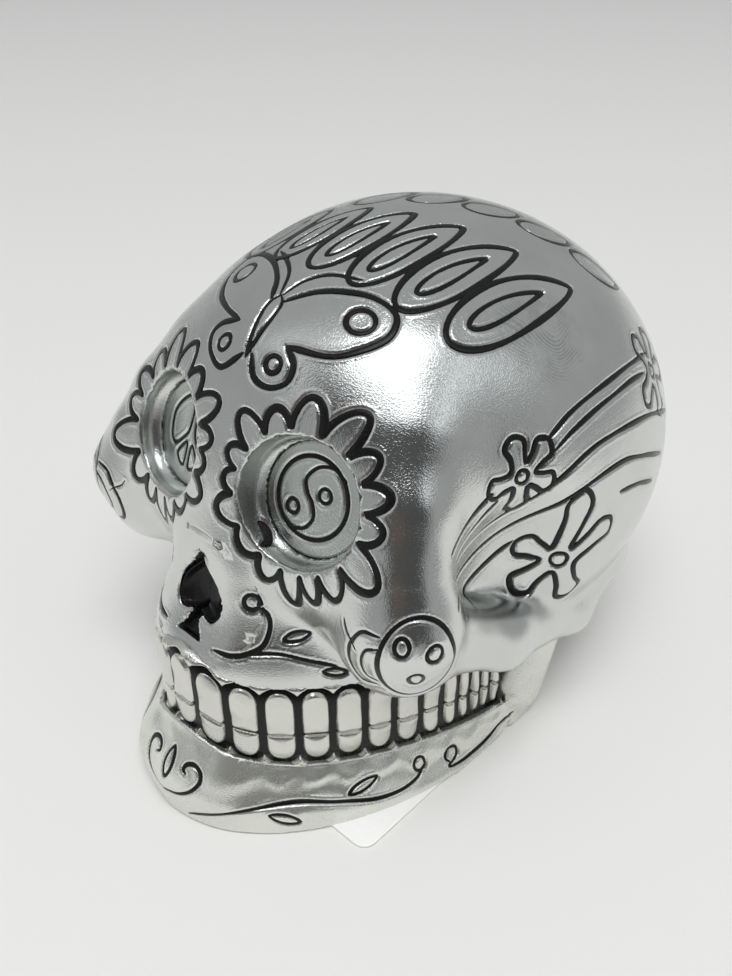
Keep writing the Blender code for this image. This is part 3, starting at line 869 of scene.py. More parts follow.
print("lines on the head:", sum(len(d) for d in drawings.values()))


# %% [markdown]
# ## Finishes
# The plating mirrors the room, with the fine grain of the casting under it, faint polishing
# scratches and a breath of handling; the jaw and teeth are a little softer.  The enamel is
# deep gloss black with tiny pits.  An image could carry the marks, but it would have to be
# unwrapped; noise on each piece's own coordinates needs no unwrapping and never stretches.

# %% Node helpers
def new_material(name, **sockets):
    """Principled material with constant sockets; returns it with its nodes, links and shader."""
    material = bpy.data.materials.new(name)
    material.use_nodes = True
    tree = material.node_tree
    shader = tree.nodes["Principled BSDF"]
    for socket, value in sockets.items():
        shader.inputs[socket.replace("_", " ")].default_value = value
    return material, tree, shader


def add(tree, kind, inputs=(), **settings):
    """New node with its settings, its inputs filled by links or by plain values."""
    node = tree.nodes.new(kind)
    for key, value in settings.items():
        setattr(node, key, value)
    for socket, value in dict(inputs).items():
        if isinstance(value, bpy.types.NodeSocket):
            tree.links.new(value, node.inputs[socket])
        else:
            node.inputs[socket].default_value = value
    return node


def noise(tree, place, scale, detail=3.0, rough=0.55):
    """Noise value on the object's own coordinates."""
    return add(tree, "ShaderNodeTexNoise", {"Vector": place, "Scale": scale, "Detail": detail,
                                            "Roughness": rough}).outputs["Fac"]


def ramp(tree, value, low, high, to_low, to_high):
    """Value mapped from one range to another and held at the ends."""
    return add(tree, "ShaderNodeMapRange", {"Value": value, "From Min": low, "From Max": high,
                                            "To Min": to_low, "To Max": to_high}).outputs["Result"]


def calc(tree, operation, a, b=0.0):
    """One Math node."""
    return add(tree, "ShaderNodeMath", {0: a, 1: b}, operation=operation).outputs[0]


def product(tree, a, b):
    """Math node that multiplies."""
    return calc(tree, "MULTIPLY", a, b)


def total(tree, a, b):
    """Math node that adds."""
    return calc(tree, "ADD", a, b)


def reach(tree, place, point):
    """Distance of the shaded point from a fixed one."""
    return add(tree, "ShaderNodeVectorMath", {0: place, 1: tuple(point)},
               operation="DISTANCE").outputs["Value"]


def blend(tree, factor, first, second):
    """Colour that goes from first to second as the factor goes from 0 to 1."""
    mix = add(tree, "ShaderNodeMix", {0: factor}, data_type="RGBA")
    for socket, value in zip([s for s in mix.inputs if s.type == "RGBA"], (first, second)):
        if isinstance(value, bpy.types.NodeSocket):
            tree.links.new(value, socket)
        else:
            socket.default_value = (*value, 1.0)
    return [s for s in mix.outputs if s.type == "RGBA"][0]


def coat(tree, shader, colour, rough, height, strength, distance):
    """Fill the shader: colour, roughness, and a bump of height times strength and distance."""
    tree.links.new(colour, shader.inputs["Base Color"])
    tree.links.new(rough, shader.inputs["Roughness"])
    bump = add(tree, "ShaderNodeBump", {"Height": height, "Strength": strength,
                                        "Distance": distance})
    tree.links.new(bump.outputs["Normal"], shader.inputs["Normal"])


# %% [markdown]
# The head is the brightest metal.  One thumb's print stays on its left temple: ridges are
# rings of a sine round a point, bent by noise, inside a patch that fades at its edge.  The
# jaw and teeth get the same recipe with more roughness and a warmer tint.

# %% Plating
CLOUD, GRAIN, WRINKLE, WAVE = 95.0, 5200.0, 1100.0, 150.0       # noise scales, per metre
GRAIN_HEIGHT, WRINKLE_HEIGHT, WAVE_HEIGHT = 2.6, 0.45, 2.4
BUMP_UNIT = 0.00002
PRINT_CENTRE = (np.array([22.8, 1.6, 62.7]) + STANCE) * MM
LOOP_CENTRE = PRINT_CENTRE + np.array([-0.002, 0.003, 0.003])
PRINT_INNER, PRINT_OUTER, RIDGE_SPACING = 0.0045, 0.0068, 0.00048


def smudge(tree, place):
    """Strength of the print: a round patch, broken by noise, times sine ridges round a loop."""
    patch = ramp(tree, reach(tree, place, PRINT_CENTRE), PRINT_INNER, PRINT_OUTER, 1.0, 0.0)
    patch = product(tree, patch, ramp(tree, noise(tree, place, 420.0, 3.0), 0.4, 0.6, 0.15, 1.0))
    loop = reach(tree, place, LOOP_CENTRE)
    warp = total(tree, product(tree, noise(tree, place, 110.0, 1.0), 0.009), loop)
    ridge = calc(tree, "SINE", product(tree, warp, 2.0 * math.pi / RIDGE_SPACING))
    return product(tree, patch, ramp(tree, ridge, -0.6, 1.0, 0.25, 1.0))


def plating(name, colour, smooth, worn, grain, metallic=1.0, print_mark=False):
    """Mirror metal: roughness from smooth to worn by cloudy noise, scratches and fine grain."""
    material, tree, shader = new_material(name, Metallic=metallic)
    place = add(tree, "ShaderNodeTexCoord").outputs["Object"]
    cloud = noise(tree, place, CLOUD, 4.0, 0.6)
    speck = noise(tree, place, GRAIN, 2.0, 0.6)
    stretch = add(tree, "ShaderNodeMapping", {"Vector": place, "Rotation": (0.5, 0.9, 0.3),
                                              "Scale": (900.0, 60.0, 900.0)}).outputs["Vector"]
    scratch = ramp(tree, noise(tree, stretch, 1.0, 3.0, 0.7), 0.66, 0.74, 0.0, 1.0)
    rough = ramp(tree, cloud, 0.35, 0.72, smooth, worn)
    rough = total(tree, rough, ramp(tree, speck, 0.5, 0.75, 0.0, 0.06))
    rough = total(tree, rough, product(tree, scratch, 0.10))
    tint = blend(tree, ramp(tree, cloud, 0.3, 0.8, 0.0, 1.0), colour, [0.86 * c for c in colour])
    wrinkle = product(tree, noise(tree, place, WRINKLE, 2.0), WRINKLE_HEIGHT)
    height = total(tree, product(tree, speck, GRAIN_HEIGHT), wrinkle)
    height = total(tree, height, product(tree, noise(tree, place, WAVE, 2.0), WAVE_HEIGHT))
    if print_mark:
        smear = smudge(tree, place)
        rough = total(tree, rough, product(tree, smear, 0.16))
        tint = blend(tree, product(tree, smear, 0.65), tint, (0.34, 0.36, 0.34))
    coat(tree, shader, tint, rough, height, grain, BUMP_UNIT)
    return material


head_plating = plating("head_mirror_plating", (0.72, 0.735, 0.715), 0.05, 0.15, 0.7, 1.0, True)
jaw_plating = plating("jaw_satin_plating", (0.80, 0.81, 0.76), 0.17, 0.32, 0.8, 0.85)
tooth_plating = plating("tooth_satin_plating", (0.76, 0.76, 0.71), 0.15, 0.30, 0.8, 0.93)
disc_plating = plating("eye_disc_plating", (0.70, 0.73, 0.70), 0.08, 0.18, 0.7)
print("nodes in the head's plating:", len(head_plating.node_tree.nodes))


# %% Enamel and paper
def gloss_enamel(name):
    """Near-black gloss: fine noise gives the pits and their roughness, slow noise the tint."""
    material, tree, shader = new_material(name, IOR=1.5, Specular_IOR_Level=0.22)
    place = add(tree, "ShaderNodeTexCoord").outputs["Object"]
    pits = noise(tree, place, 2600.0, 3.0, 0.7)
    cloud = noise(tree, place, 400.0, 2.0)
    shade = blend(tree, cloud, (0.004, 0.004, 0.005), (0.012, 0.011, 0.010))
    rough = ramp(tree, pits, 0.45, 0.75, 0.12, 0.4)
    coat(tree, shader, shade, rough, pits, 0.35, 2.0 * BUMP_UNIT)
    return material


def card_paper(name):
    """Smooth white card with a faint fibre."""
    material, tree, shader = new_material(name, IOR=1.45)
    place = add(tree, "ShaderNodeTexCoord").outputs["Object"]
    fibre = noise(tree, place, 900.0, 5.0, 0.7)
    shade = blend(tree, fibre, (0.80, 0.80, 0.78), (0.88, 0.88, 0.86))
    rough = ramp(tree, fibre, 0.3, 0.7, 0.6, 0.8)
    coat(tree, shader, shade, rough, fibre, 0.2, 1.5 * BUMP_UNIT)
    return material


enamel = gloss_enamel("gloss_black_enamel")
card = card_paper("white_card")
print("black and white finishes:", enamel.name, card.name)


# %% [markdown]
# ## Making the pieces
# Every piece rides on the one body of the ornament.  A mirror shows each facet of a mesh, so
# the castings carry normals worked out from the field's slope and the groove's, which a
# finer mesh or smooth shading alone could not give at this weight.

# %% From arrays to a piece
def make_piece(name, points, faces, material, slot, normals=None):
    """Mesh object at the origin from millimetre points, smooth shaded, riding on the body."""
    mesh = bpy.data.meshes.new(name)
    faces = faces.tolist() if isinstance(faces, np.ndarray) else faces
    mesh.from_pydata(((points + STANCE) * MM).tolist(), [], faces)
    mesh.shade_smooth()
    if normals is not None:
        mesh.normals_split_custom_set_from_vertices(normals.tolist())
    mesh.materials.append(material)
    piece = bpy.data.objects.new(name, mesh)
    bpy.context.scene.collection.objects.link(piece)
    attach(piece, "root")
    print(name, "has", len(mesh.polygons), "faces")
    return piece


# %% A casting with its engraving
FINE_BAND = 0.45                        # how far from a line the triangles are split
FINE_EDGE, FINE_ROUNDS = 0.30, 2        # the longest edge left there, and how often edges halve
GROOVE_STEP = 0.02


def engraved_casting(name, field, low, high, cell, lines, material, slot, extra=()):
    """Mesh a field, split it near the lines, settle it, and press the grooves in; the normal is
    the field's slope less the groove's slope across the line."""
    points, quads = net_of(field, low, high, cell)
    points = settle(field, points, 0.25 * cell, 5)
    faces = np.concatenate([quads[:, [0, 1, 2]], quads[:, [0, 2, 3]]])
    cuts = Lines(lines)
    guides = Lines(list(lines) + list(extra))

    def wanted(points, ends):
        """Edges near a guide that are longer than FINE_EDGE."""
        length = np.linalg.norm(points[ends[:, 0]] - points[ends[:, 1]], axis=1)
        distance, half = guides.near(points)[:2]
        near = np.minimum(distance[ends[:, 0]], distance[ends[:, 1]]) - half[ends[:, 0]]
        return (length > FINE_EDGE) & (near < FINE_BAND + 0.3 * length)

    for _ in range(FINE_ROUNDS):
        points, faces = split(points, faces, wanted)
    points = settle(field, points, 0.2, 4)
    smooth = slope_of(field, points)
    smooth /= np.linalg.norm(smooth, axis=1, keepdims=True) + 1e-9
    distance, half, foot = cuts.near(points)
    away = points - foot
    away -= (away * smooth).sum(1)[:, None] * smooth
    away /= np.linalg.norm(away, axis=1, keepdims=True) + 1e-6
    fall = groove(distance + GROOVE_STEP, half) - groove(np.abs(distance - GROOVE_STEP), half)
    fall = fall / (2.0 * GROOVE_STEP)
    normals = smooth - fall[:, None] * away
    normals /= np.linalg.norm(normals, axis=1, keepdims=True) + 1e-9
    points = points + smooth * groove(distance, half)[:, None]
    return make_piece(name, points, faces, material, slot, normals)


def enamel_piece(name, lines):
    """One piece with the enamel of several lines."""
    return make_piece(name, *ribbons(lines), enamel, "enamel")


# %% [markdown]
# The cranium is the big mirror casting.  A coarse net would round off the edges of the eye
# dishes and of the nose, so guide lines run along them: they cut nothing, and only ask for
# smaller triangles.

# %% Guide lines
DISH_RIMS = ((9.0, 0.0), (8.1, 0.1), (7.3, 1.0))        # radius and depth of rings in the dish
NOSE_RIMS = (-0.6, 0.7, -1.7)                           # heights of the nose's outline


def guide(path, closed=True):
    """A line that only asks for finer triangles near it."""
    return {"path": path, "normal": path * 0.0, "half": np.full(len(path), 0.1), "closed": closed}


def arch_guides(heights):
    """Guide lines along the tooth arch, an ellipse, at some smile heights."""
    angle = np.linspace(-1.4, 1.4, 400)
    middle, half_width, half_depth = TOOTH_ARCH
    x, y = half_width * np.sin(angle), middle - half_depth * np.cos(angle)
    lift = smile_rise(x) - BITE_SLOPE * (y - BITE_FRONT)
    return [guide(np.stack([x, y, h + lift], 1), False) for h in heights]


guides = []
centre, x, y, z = eye_board
for side in (1.0, -1.0):
    for radius, depth in DISH_RIMS:
        circle = ring((0.0, 0.0), radius, 1.0, 160)
        rim = centre - depth * z + circle[:, :1] * x + circle[:, 1:] * y
        guides.append(guide(rim * (side, 1.0, 1.0)))
centre, x, y, z = NOSE_BOARD
for depth in NOSE_RIMS:
    rim = resample(centre + depth * z + SPADE[:, :1] * x + SPADE[:, 1:] * y, True, 0.3)
    guides.append(guide(rim))
head_lines = [line for lines in drawings.values() for line in lines]
guides += arch_guides([23.8])
print("guide lines:", len(guides))

# %% Cranium
cranium = engraved_casting("cranium_casting", cranium_field, (-36, -42, -2), (36, 49, 75), 1.1,
                           head_lines, head_plating, "chrome", guides)
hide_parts("cranium")

# %% [markdown]
# The lower jaw is the second casting, a shade softer in its shine.  It has thinner walls and
# small waves under the teeth, so its net is finer than the head's.

# %% Mandible
jaw_engraving = [line for lines in jaw_drawings.values() for line in lines]
mandible = engraved_casting("mandible_casting", jaw_field, (-31, -48, -2), (31, 14, 25), 0.75,
                            jaw_engraving, jaw_plating, "jaw_chrome",
                            arch_guides([9.9, 8.7, 7.4]))
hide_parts("mandible")

# %% Enamel in every drawing
for name, lines in {**drawings, **jaw_drawings}.items():
    enamel_piece(name + "_enamel", lines)


# %% [markdown]
# ## Teeth
# Each row is one casting: pillows side by side round the arch, tall above and short below,
# with a round end at the gum and a square one at the bite.  The black between them is a
# strip behind the crowns, so every tooth stands in its own dark outline.  Crowns could be
# set one by one, but one height map along the arch gives them all, with no gaps to close.

# %% The arch as a path
ROW_STEP = 0.15


def arch_path(step=ROW_STEP):
    """Points, outward normals and run lengths along the front half of the tooth ellipse."""
    middle, half_width, half_depth = TOOTH_ARCH
    last = math.asin((-0.5 - middle) / -half_depth)
    angle = np.linspace(last - math.pi / 2.0, math.pi / 2.0 - last, 4001)
    x, y = half_width * np.sin(angle), middle - half_depth * np.cos(angle)
    run = np.concatenate([[0.0], np.cumsum(np.hypot(np.diff(x), np.diff(y)))])
    run -= run[-1] / 2.0
    at = np.linspace(run[0], run[-1], int(2 * run[-1] / step))
    angle = np.interp(at, run, angle)
    out = np.stack([np.sin(angle) / half_width, -np.cos(angle) / half_depth], 1)
    out /= np.linalg.norm(out, axis=1, keepdims=True)
    place = np.stack([half_width * np.sin(angle), middle - half_depth * np.cos(angle)], 1)
    return at, place, out


def on_arch(place, out, height, offset):
    """Point of the arch at a smile height, moved outwards by offset."""
    xy = place + out * offset[..., None]
    z = height + smile_rise(place[..., 0]) - BITE_SLOPE * (place[..., 1] - BITE_FRONT)
    return np.concatenate([xy, z[..., None]], -1)


def strip(name, heights, offsets, material, slot):
    """Closed bar along the arch: heights and offsets are (path, profile) arrays, outside up."""
    at, place, out = arch_path()
    count, sides = heights.shape
    points = on_arch(place[:, None, :], out[:, None, :], heights, offsets).reshape(-1, 3)
    number = np.arange(count * sides).reshape(count, sides)
    on = np.roll(number, -1, 1)
    quads = np.stack([number[:-1], number[1:], on[1:], on[:-1]], -1).reshape(-1, 4)
    ends = [number[0].tolist(), number[-1].tolist()[::-1]]
    return make_piece(name, points, quads.tolist() + ends, material, slot)


print("the arch is", round(float(np.ptp(arch_path()[0])), 1), "mm long")


# %% Crowns
SINK, GAP = 1.25, 0.34          # how deep the black lies, and half the gap between two crowns
TOOTH_EDGES = np.array([-2.4, 2.4, 7.0, 11.7, 16.5, 21.1, 25.6, 30.0, 34.2, 37.8, 40.6, 42.9,
                        44.9, 47.0, 49.2, 51.4])    # along the arch, from the middle tooth on
ROUNDNESS, BITE_CORNER, BITE_FALL = 2.1, 0.7, 1.7
ROLL, ROLL_END, SHELF_DEPTH = 0.38, 0.5, 0.12


def tooth_at(run):
    """Number of the tooth at a place on the arch, the way to its middle, and half its width."""
    number = np.searchsorted(TOOTH_EDGES, np.abs(run)) - 1
    wide = np.diff(TOOTH_EDGES)[number]
    across = np.abs(np.abs(run) - TOOTH_EDGES[number] - wide / 2.0)
    return number, across, wide / 2.0 - GAP


def crown_outline(run, height, gum, bite, round_end):
    """Distance in mm to a crown's outline: flat at the bite, a superellipse cap at the gum."""
    across, half = tooth_at(run)[1:]
    up = math.copysign(1.0, gum - bite)
    rise = up * (height - bite)
    cap = np.maximum(rise - abs(gum - bite) + round_end, 0.0) / round_end
    edge = (((across / half) ** ROUNDNESS + cap ** ROUNDNESS) ** (1.0 / ROUNDNESS) - 1.0) * half
    a, b = edge + BITE_CORNER, BITE_CORNER - BITE_FALL * rise
    outside = np.hypot(np.maximum(a, 0.0), np.maximum(b, 0.0))
    return np.minimum(np.maximum(a, b), 0.0) + outside - BITE_CORNER, rise


def crown_offset(run, height, gum, bite, round_end):
    """Metal height of a tooth row: pillows inside their outline, and the gum shelf beyond."""
    edge, rise = crown_outline(run, height, gum, bite, round_end)
    number, _, half = tooth_at(run)
    wall = np.clip((edge + ROLL) / ROLL_END, 0.0, 1.0)
    dome = np.clip(1.0 + edge / half, 0.0, 1.0)
    lean = 0.12 * np.sin(3.1 * number + np.sign(run) + 0.7) * (rise / 4.0 - 1.0)
    lean = lean + 0.10 * np.cos(rise * 1.1 + number)
    pillow = lean - 0.45 * dome ** 2.0 - (SINK - 0.45) * wall ** 2 * (3.0 - 2.0 * wall)
    shelf = np.clip((edge - 0.66) / 0.35, 0.0, 1.0) * (rise > 2.0)
    ridge = 0.10 * np.exp(-((edge - 1.15) / 0.25) ** 2) * (rise > 2.0)
    shelf = (SINK - SHELF_DEPTH) * shelf * (2.0 - shelf)
    return np.maximum(pillow, -SINK + shelf + ridge)


print("teeth in a row:", 2 * (len(TOOTH_EDGES) - 1) - 1)


# %% Tooth rows
ROW_BACK, ROW_END = -3.2, 0.7           # the plain back, and how far a row's far edge turns in


def tooth_row(name, gum, bite, shelf_end, round_end):
    """One casting: the crowns' relief in front, a plain back behind it, closed all round."""
    run = arch_path()[0]
    low, high = min(bite, shelf_end), max(bite, shelf_end)
    front = np.linspace(low, high, int((high - low) / ROW_STEP))
    back = np.linspace(high, low, 5)
    heights = np.tile(np.concatenate([front, back]), (len(run), 1))
    relief = crown_offset(run[:, None], front[None, :], gum, bite, round_end)
    stays = np.clip(np.abs(front - shelf_end) / 0.5, 0.0, 1.0)
    relief = relief - (1.0 - stays)[None, :] * ROW_END
    offsets = np.concatenate([relief, np.full((len(run), len(back)), ROW_BACK)], 1)
    return strip(name, heights, offsets, tooth_plating, "jaw_chrome")


upper = tooth_row("upper_teeth_casting", 22.9, 15.45, 24.3, 2.6)
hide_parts("upper_teeth")
lower = tooth_row("lower_teeth_casting", 10.8, 15.35, 9.6, 2.5)
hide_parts("lower_teeth")

# %% Black between the teeth
run = arch_path()[0]
BLACK = np.array([(9.9, -1.9), (9.9, -0.75), (12.0, -0.66), (15.5, -0.70), (20.0, -0.66),
                  (23.9, -0.75), (23.9, -1.9)])         # smile heights and offsets of its section
heights, offsets = (np.tile(column, (len(run), 1)) for column in BLACK.T)
strip("tooth_outline_enamel", heights, offsets, enamel, "enamel")


# %% [markdown]
# ## Eye discs
# A round disc closes the bottom of each eye dish.  The left one carries two curled halves
# with an eye in each, the right one four cells that leave a forked stem between them.  Cut
# by booleans, such fine lines would tear the rim, so each disc is rings of points that sink
# where a line runs.

# %% Disc shapes
DOME, RIM_DROP, DISC_BOTTOM = 0.12, 0.25, -2.0


def disc_top(x, y):
    """Slightly domed top, a parabola, that rolls over at the rim."""
    share = np.hypot(x, y) / EYE_DISC_RADIUS
    return DOME * (1.0 - share ** 2) - RIM_DROP * np.clip((share - 0.95) / 0.05, 0.0, 1.0) ** 2


def lay_on_disc(line, width, closed=False):
    """A line drawn straight on the disc, in the disc's own plane."""
    line = np.asarray(line, float)
    flat = np.concatenate([line, np.zeros((len(line), 1))], 1)
    path = resample(flat, closed, 0.2)
    path[:, 2] = disc_top(path[:, 0], path[:, 1])
    normal = np.tile([0.0, 0.0, 1.0], (len(path), 1))
    return {"path": path, "normal": normal, "half": np.full(len(path), width), "closed": closed}


def place_disc(points, side):
    """From the disc's plane to the bottom of the dish on side +1 or -1."""
    centre, x, y, z = eye_board
    middle = centre - EYE_DISC_DEPTH * z
    placed = middle + points[:, :1] * x * side + points[:, 1:2] * y + points[:, 2:] * z
    return placed * (side, 1.0, 1.0)


def shell_faces(rings, count, flip=False):
    """Quads from ring to ring, and at each end a fan to one of the two points that follow."""
    number = np.arange(rings * count).reshape(rings, count)
    on = np.roll(number, -1, 1)
    quads = np.stack([number[:-1], number[1:], on[1:], on[:-1]], -1).reshape(-1, 4)
    first = np.stack([np.full(count, rings * count), number[0], on[0]], 1)
    last = np.stack([np.full(count, rings * count + 1), on[-1], number[-1]], 1)
    if flip:
        first, last, quads = first[:, [0, 2, 1]], last[:, [0, 2, 1]], quads[:, [0, 3, 2, 1]]
    return first.tolist() + quads.tolist() + last.tolist()


# %% An eye disc
def eye_disc(side, name, lines):
    """Disc as rings of points from the middle of its top, over the rim, to the bottom."""
    count = 220
    radii = np.concatenate([np.arange(0.12, EYE_DISC_RADIUS, 0.13), [EYE_DISC_RADIUS] * 2, [3.5]])
    angle = np.linspace(0.0, 2.0 * math.pi, count, endpoint=False)
    x, y = radii[:, None] * np.cos(angle), radii[:, None] * np.sin(angle)
    z = disc_top(x, y)
    z[-3], z[-2:] = -RIM_DROP, DISC_BOTTOM
    points = np.stack([x, y, z], -1).reshape(-1, 3)
    middles = [(0.0, 0.0, disc_top(0.0, 0.0)), (0.0, 0.0, DISC_BOTTOM)]
    points = np.concatenate([points, middles])
    distance, half = Lines(lines).near(points)[:2]
    points[:, 2] += np.where(points[:, 2] > DISC_BOTTOM / 2.0, groove(distance, half), 0.0)
    piece = make_piece(name + "_eye_disc_plated", place_disc(points, side),
                       shell_faces(len(radii), count), disc_plating, "chrome")
    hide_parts(name + "_eye_disc")
    shapes, faces = ribbons(lines)
    make_piece(name + "_eye_disc_enamel", place_disc(shapes, side), faces, enamel, "enamel")


# %% Left disc: two curled halves
CURLED = (-0.4, 0.1)
WAVY = [(3.6, 3.4), (1.8, 4.4), (-0.3, 3.9), (-1.7, 2.2), (-1.2, 0.6), (-0.2, -0.6),
        (0.2, -2.2), (-0.7, -3.7), (-2.3, -4.2), (-3.7, -3.6)]
eye_disc(1.0, "left", [lay_on_disc(ring(CURLED, 5.0, 1.0, 60), 0.25, True),
                       lay_on_disc(smooth_line(WAVY), 0.21),
                       lay_on_disc(ring((-2.9, -1.7), 0.85), 0.2, True),
                       lay_on_disc(ring((1.3, 0.9), 0.85), 0.2, True)])

# %% Right disc: four cells round a forked stem
big = smooth_line([(-0.7, 4.6), (-2.8, 3.9), (-4.6, 1.4), (-4.4, -1.6), (-3.3, -2.7),
                   (-1.6, -1.2), (-0.6, 0.6)], True)
small = smooth_line([(-0.55, -1.6), (-2.2, -3.3), (-1.6, -4.5), (-0.55, -4.6)], True)
cells = [lay_on_disc(shape, 0.2, True) for shape in (big, small)]
cells += [lay_on_disc((shape * (-1, 1))[::-1], 0.2, True) for shape in (big, small)]
eye_disc(-1.0, "right", cells)

# %% [markdown]
# ## Nose and label
# The nose is a pool of black enamel in its hollow, dished in the middle.  The label is a
# blank card corner that sticks out from under the jaw.  Both are one outline carried inwards
# through a list of scales and heights, which rounds the edges without a bevel modifier.

# %% Shapes carried inwards from an outline
def dished(name, outline, profile, place, material, slot):
    """Closed piece: the outline scaled and lifted through the profile's (scale, height) pairs."""
    centre, x, y, z = place
    middle = outline.mean(0)
    points = []
    for scale, height in profile:
        flat = middle + (outline - middle) * scale
        points.append(centre + flat[:, :1] * x + flat[:, 1:] * y + height * z)
    for height in (profile[0][1], profile[-1][1]):
        points.append([centre + middle[0] * x + middle[1] * y + height * z])
    faces = shell_faces(len(profile), len(outline), True)
    return make_piece(name, np.concatenate(points), faces, material, slot)


# %% Nose inlay
depths = [(0.35, -2.9), (0.96, -2.9), (1.0, -2.6), (1.0, 0.3), (0.985, 0.36), (0.96, 0.2),
          (0.9, -0.35), (0.8, -0.75), (0.6, -1.05), (0.35, -1.2), (0.15, -1.25)]
nose = dished("nose_enamel", SPADE, depths, NOSE_BOARD, enamel, "enamel")
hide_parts("nose_inlay")

# %% Label card
label_low, label_high = (np.array(c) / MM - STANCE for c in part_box("label"))
label_middle = (label_low + label_high) / 2.0
half_long, half_short, thick = (label_high - label_low) / 2.0
BEND = 2.0                              # radius of the card's corners
far_x, far_y = half_long - BEND, half_short - BEND
corners = [(far_x, far_y, 0), (-far_x, far_y, 90), (-far_x, -far_y, 180), (far_x, -far_y, 270)]
card_outline = np.concatenate([arc((x, y), BEND, a, a + 90.0, 12) for x, y, a in corners])
levels = [(0.5, -thick), (0.995, -thick), (1.0, -thick + 0.05), (1.0, thick - 0.05),
          (0.995, thick), (0.5, thick)]
label = dished("label_card", card_outline, levels, board(label_middle, (0, 0, 1), (1, 0, 0)),
               card, "paper")
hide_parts("label")

# %% [markdown]
# ## The room
# Mirror plating shows the room more than itself: a pale table and walls, a tall bright
# window high on the camera's side and a dark curtain below it.  A picture of a room could
# light the scene, but soft rectangles in the world's shader say exactly what is reflected.

# %% Table and floor
def sheet_of(name, corners, material, glossy=True):
    """Flat stage panel; the far ones don't show in the plating."""
    mesh = bpy.data.meshes.new(name)
    mesh.from_pydata(corners, [], [list(range(len(corners)))])
    mesh.materials.append(material)
    panel = bpy.data.objects.new(name, mesh)
    panel.visible_glossy = glossy
    bpy.context.scene.collection.objects.link(panel)
    return panel


stage_paint = new_material("pale_table", Base_Color=(0.74, 0.735, 0.715, 1.0), Roughness=0.75)[0]
VIEW_AZIMUTH = math.radians(43.0)
TABLE_NEAR, TABLE_FAR, TABLE_HALF, FLOOR_HALF, FLOOR_DROP = 0.12, -0.8, 0.45, 3, -0.0004
toward = np.array([math.sin(VIEW_AZIMUTH), -math.cos(VIEW_AZIMUTH)])
beside = np.array([math.cos(VIEW_AZIMUTH), math.sin(VIEW_AZIMUTH)])


def table_corner(forward, across, height):
    """Corner of the table, counted from the middle towards the camera and to its right."""
    return (*(toward * forward + beside * across), height)


table = [table_corner(TABLE_NEAR, -TABLE_HALF, 0.0), table_corner(TABLE_NEAR, TABLE_HALF, 0.0),
         table_corner(TABLE_FAR, TABLE_HALF, 0.0), table_corner(TABLE_FAR, -TABLE_HALF, 0.0)]
sheet_of("table", table, stage_paint)
turns = ((-1, -1), (1, -1), (1, 1), (-1, 1))
floor = [(FLOOR_HALF * a, FLOOR_HALF * b, FLOOR_DROP) for a, b in turns]
sheet_of("floor_beyond", floor, stage_paint, False)
print("table:", round(TABLE_NEAR - TABLE_FAR, 2), "m deep")

# %% World
world = bpy.data.worlds.new("room")
world.use_nodes = True
bpy.context.scene.world = world
tree = world.node_tree
sky = tree.nodes["Background"]
way = add(tree, "ShaderNodeTexCoord").outputs["Generated"]
parts = add(tree, "ShaderNodeSeparateXYZ", {0: way}).outputs
azimuth = calc(tree, "ARCTAN2", parts["X"], calc(tree, "MULTIPLY", parts["Y"], -1.0))
height = calc(tree, "ARCSINE", parts["Z"])


def opening(centre_azimuth, half_azimuth, centre_height, half_height, soft):
    """Mask of a rectangle in the room, in degrees: 1 inside, falling to 0 over soft degrees."""
    sides = []
    for value, centre, half in ((azimuth, centre_azimuth, half_azimuth),
                                (height, centre_height, half_height)):
        off = calc(tree, "ABSOLUTE", calc(tree, "SUBTRACT", value, math.radians(centre)))
        sides.append(ramp(tree, off, math.radians(half), math.radians(half + soft), 1.0, 0.0))
    return calc(tree, "MULTIPLY", *sides)


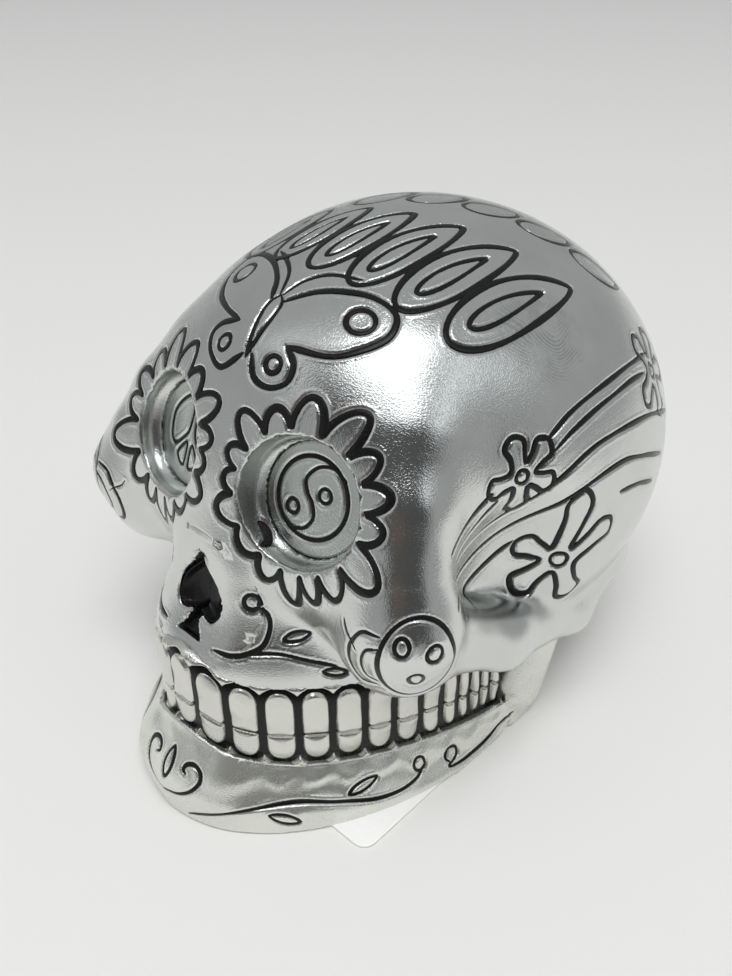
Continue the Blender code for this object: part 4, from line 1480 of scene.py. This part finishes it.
WALL_LOW, WALL_HIGH, WALL_SHADE = (0.40, 0.41, 0.41), (0.45, 0.46, 0.47), (0.27, 0.28, 0.28)
OPENINGS = [((-30, 14, 58, 16, 10), (0.72, 0.74, 0.75)),        # pale wall on the left
            ((50, 41, 26, 22, 5), (0.085, 0.085, 0.085)),       # dark curtain
            ((42, 49, 50, 10, 5), (0.10, 0.10, 0.105)),         # its upper edge
            ((30, 7, 14, 12, 3), (0.16, 0.12, 0.10)),           # brown chair back
            ((56, 44, 77, 10, 2), (3.8, 3.9, 4.0)),             # window
            ((104, 9, 49, 10, 4), (1.2, 1.25, 1.3))]            # smaller window on the right
room = blend(tree, ramp(tree, height, -0.2, 1.3, 0.0, 1.0), WALL_LOW, WALL_HIGH)
cloudy = ramp(tree, noise(tree, way, 2.6, 2.0), 0.35, 0.65, 0.0, 0.45)
room = blend(tree, cloudy, room, WALL_SHADE)
for place, colour in OPENINGS:
    room = blend(tree, opening(*place), room, colour)
camera_ray = add(tree, "ShaderNodeLightPath").outputs["Is Camera Ray"]
room = blend(tree, camera_ray, room, (0.62, 0.61, 0.60))
tree.links.new(room, sky.inputs["Color"])
print("openings in the room:", len(OPENINGS))


# %% Lamps
def lamp(name, azimuth, elevation, distance, size, watts, glossy=False):
    """Square area light aimed at the skull from that direction."""
    light = bpy.data.lights.new(name, "AREA")
    light.size = size
    light.energy = watts
    holder = bpy.data.objects.new(name, light)
    a, e = math.radians(azimuth), math.radians(elevation)
    way = Vector((math.sin(a) * math.cos(e), -math.cos(a) * math.cos(e), math.sin(e)))
    holder.location = way * distance
    holder.rotation_mode = "QUATERNION"
    holder.rotation_quaternion = way.to_track_quat("Z", "Y")
    holder.visible_glossy = glossy
    bpy.context.scene.collection.objects.link(holder)


lamp("front_soft", 43, 62, 1.3, 0.8, 12.5)
print("one lamp of", bpy.data.lights["front_soft"].energy, "W")

# %% [markdown]
# The camera looks down on the left of the face.  The standard view transform keeps the
# contrast of the plating, which the filmic ones flatten.

# %% Camera
CAMERA_PLACE, CAMERA_DOWN = (0.081, -0.0918, 0.113), 33.8
camera_data = bpy.data.cameras.new("camera")
camera_data.lens = 36.885
camera_data.sensor_width = 36.0
camera = bpy.data.objects.new("camera", camera_data)
camera.location = CAMERA_PLACE
camera.rotation_euler = (math.radians(90.0 - CAMERA_DOWN), 0.0, VIEW_AZIMUTH)
bpy.context.scene.collection.objects.link(camera)
bpy.context.scene.camera = camera
bpy.context.scene.view_settings.view_transform = "Standard"
print("camera height, mm:", round(1000 * CAMERA_PLACE[2]))
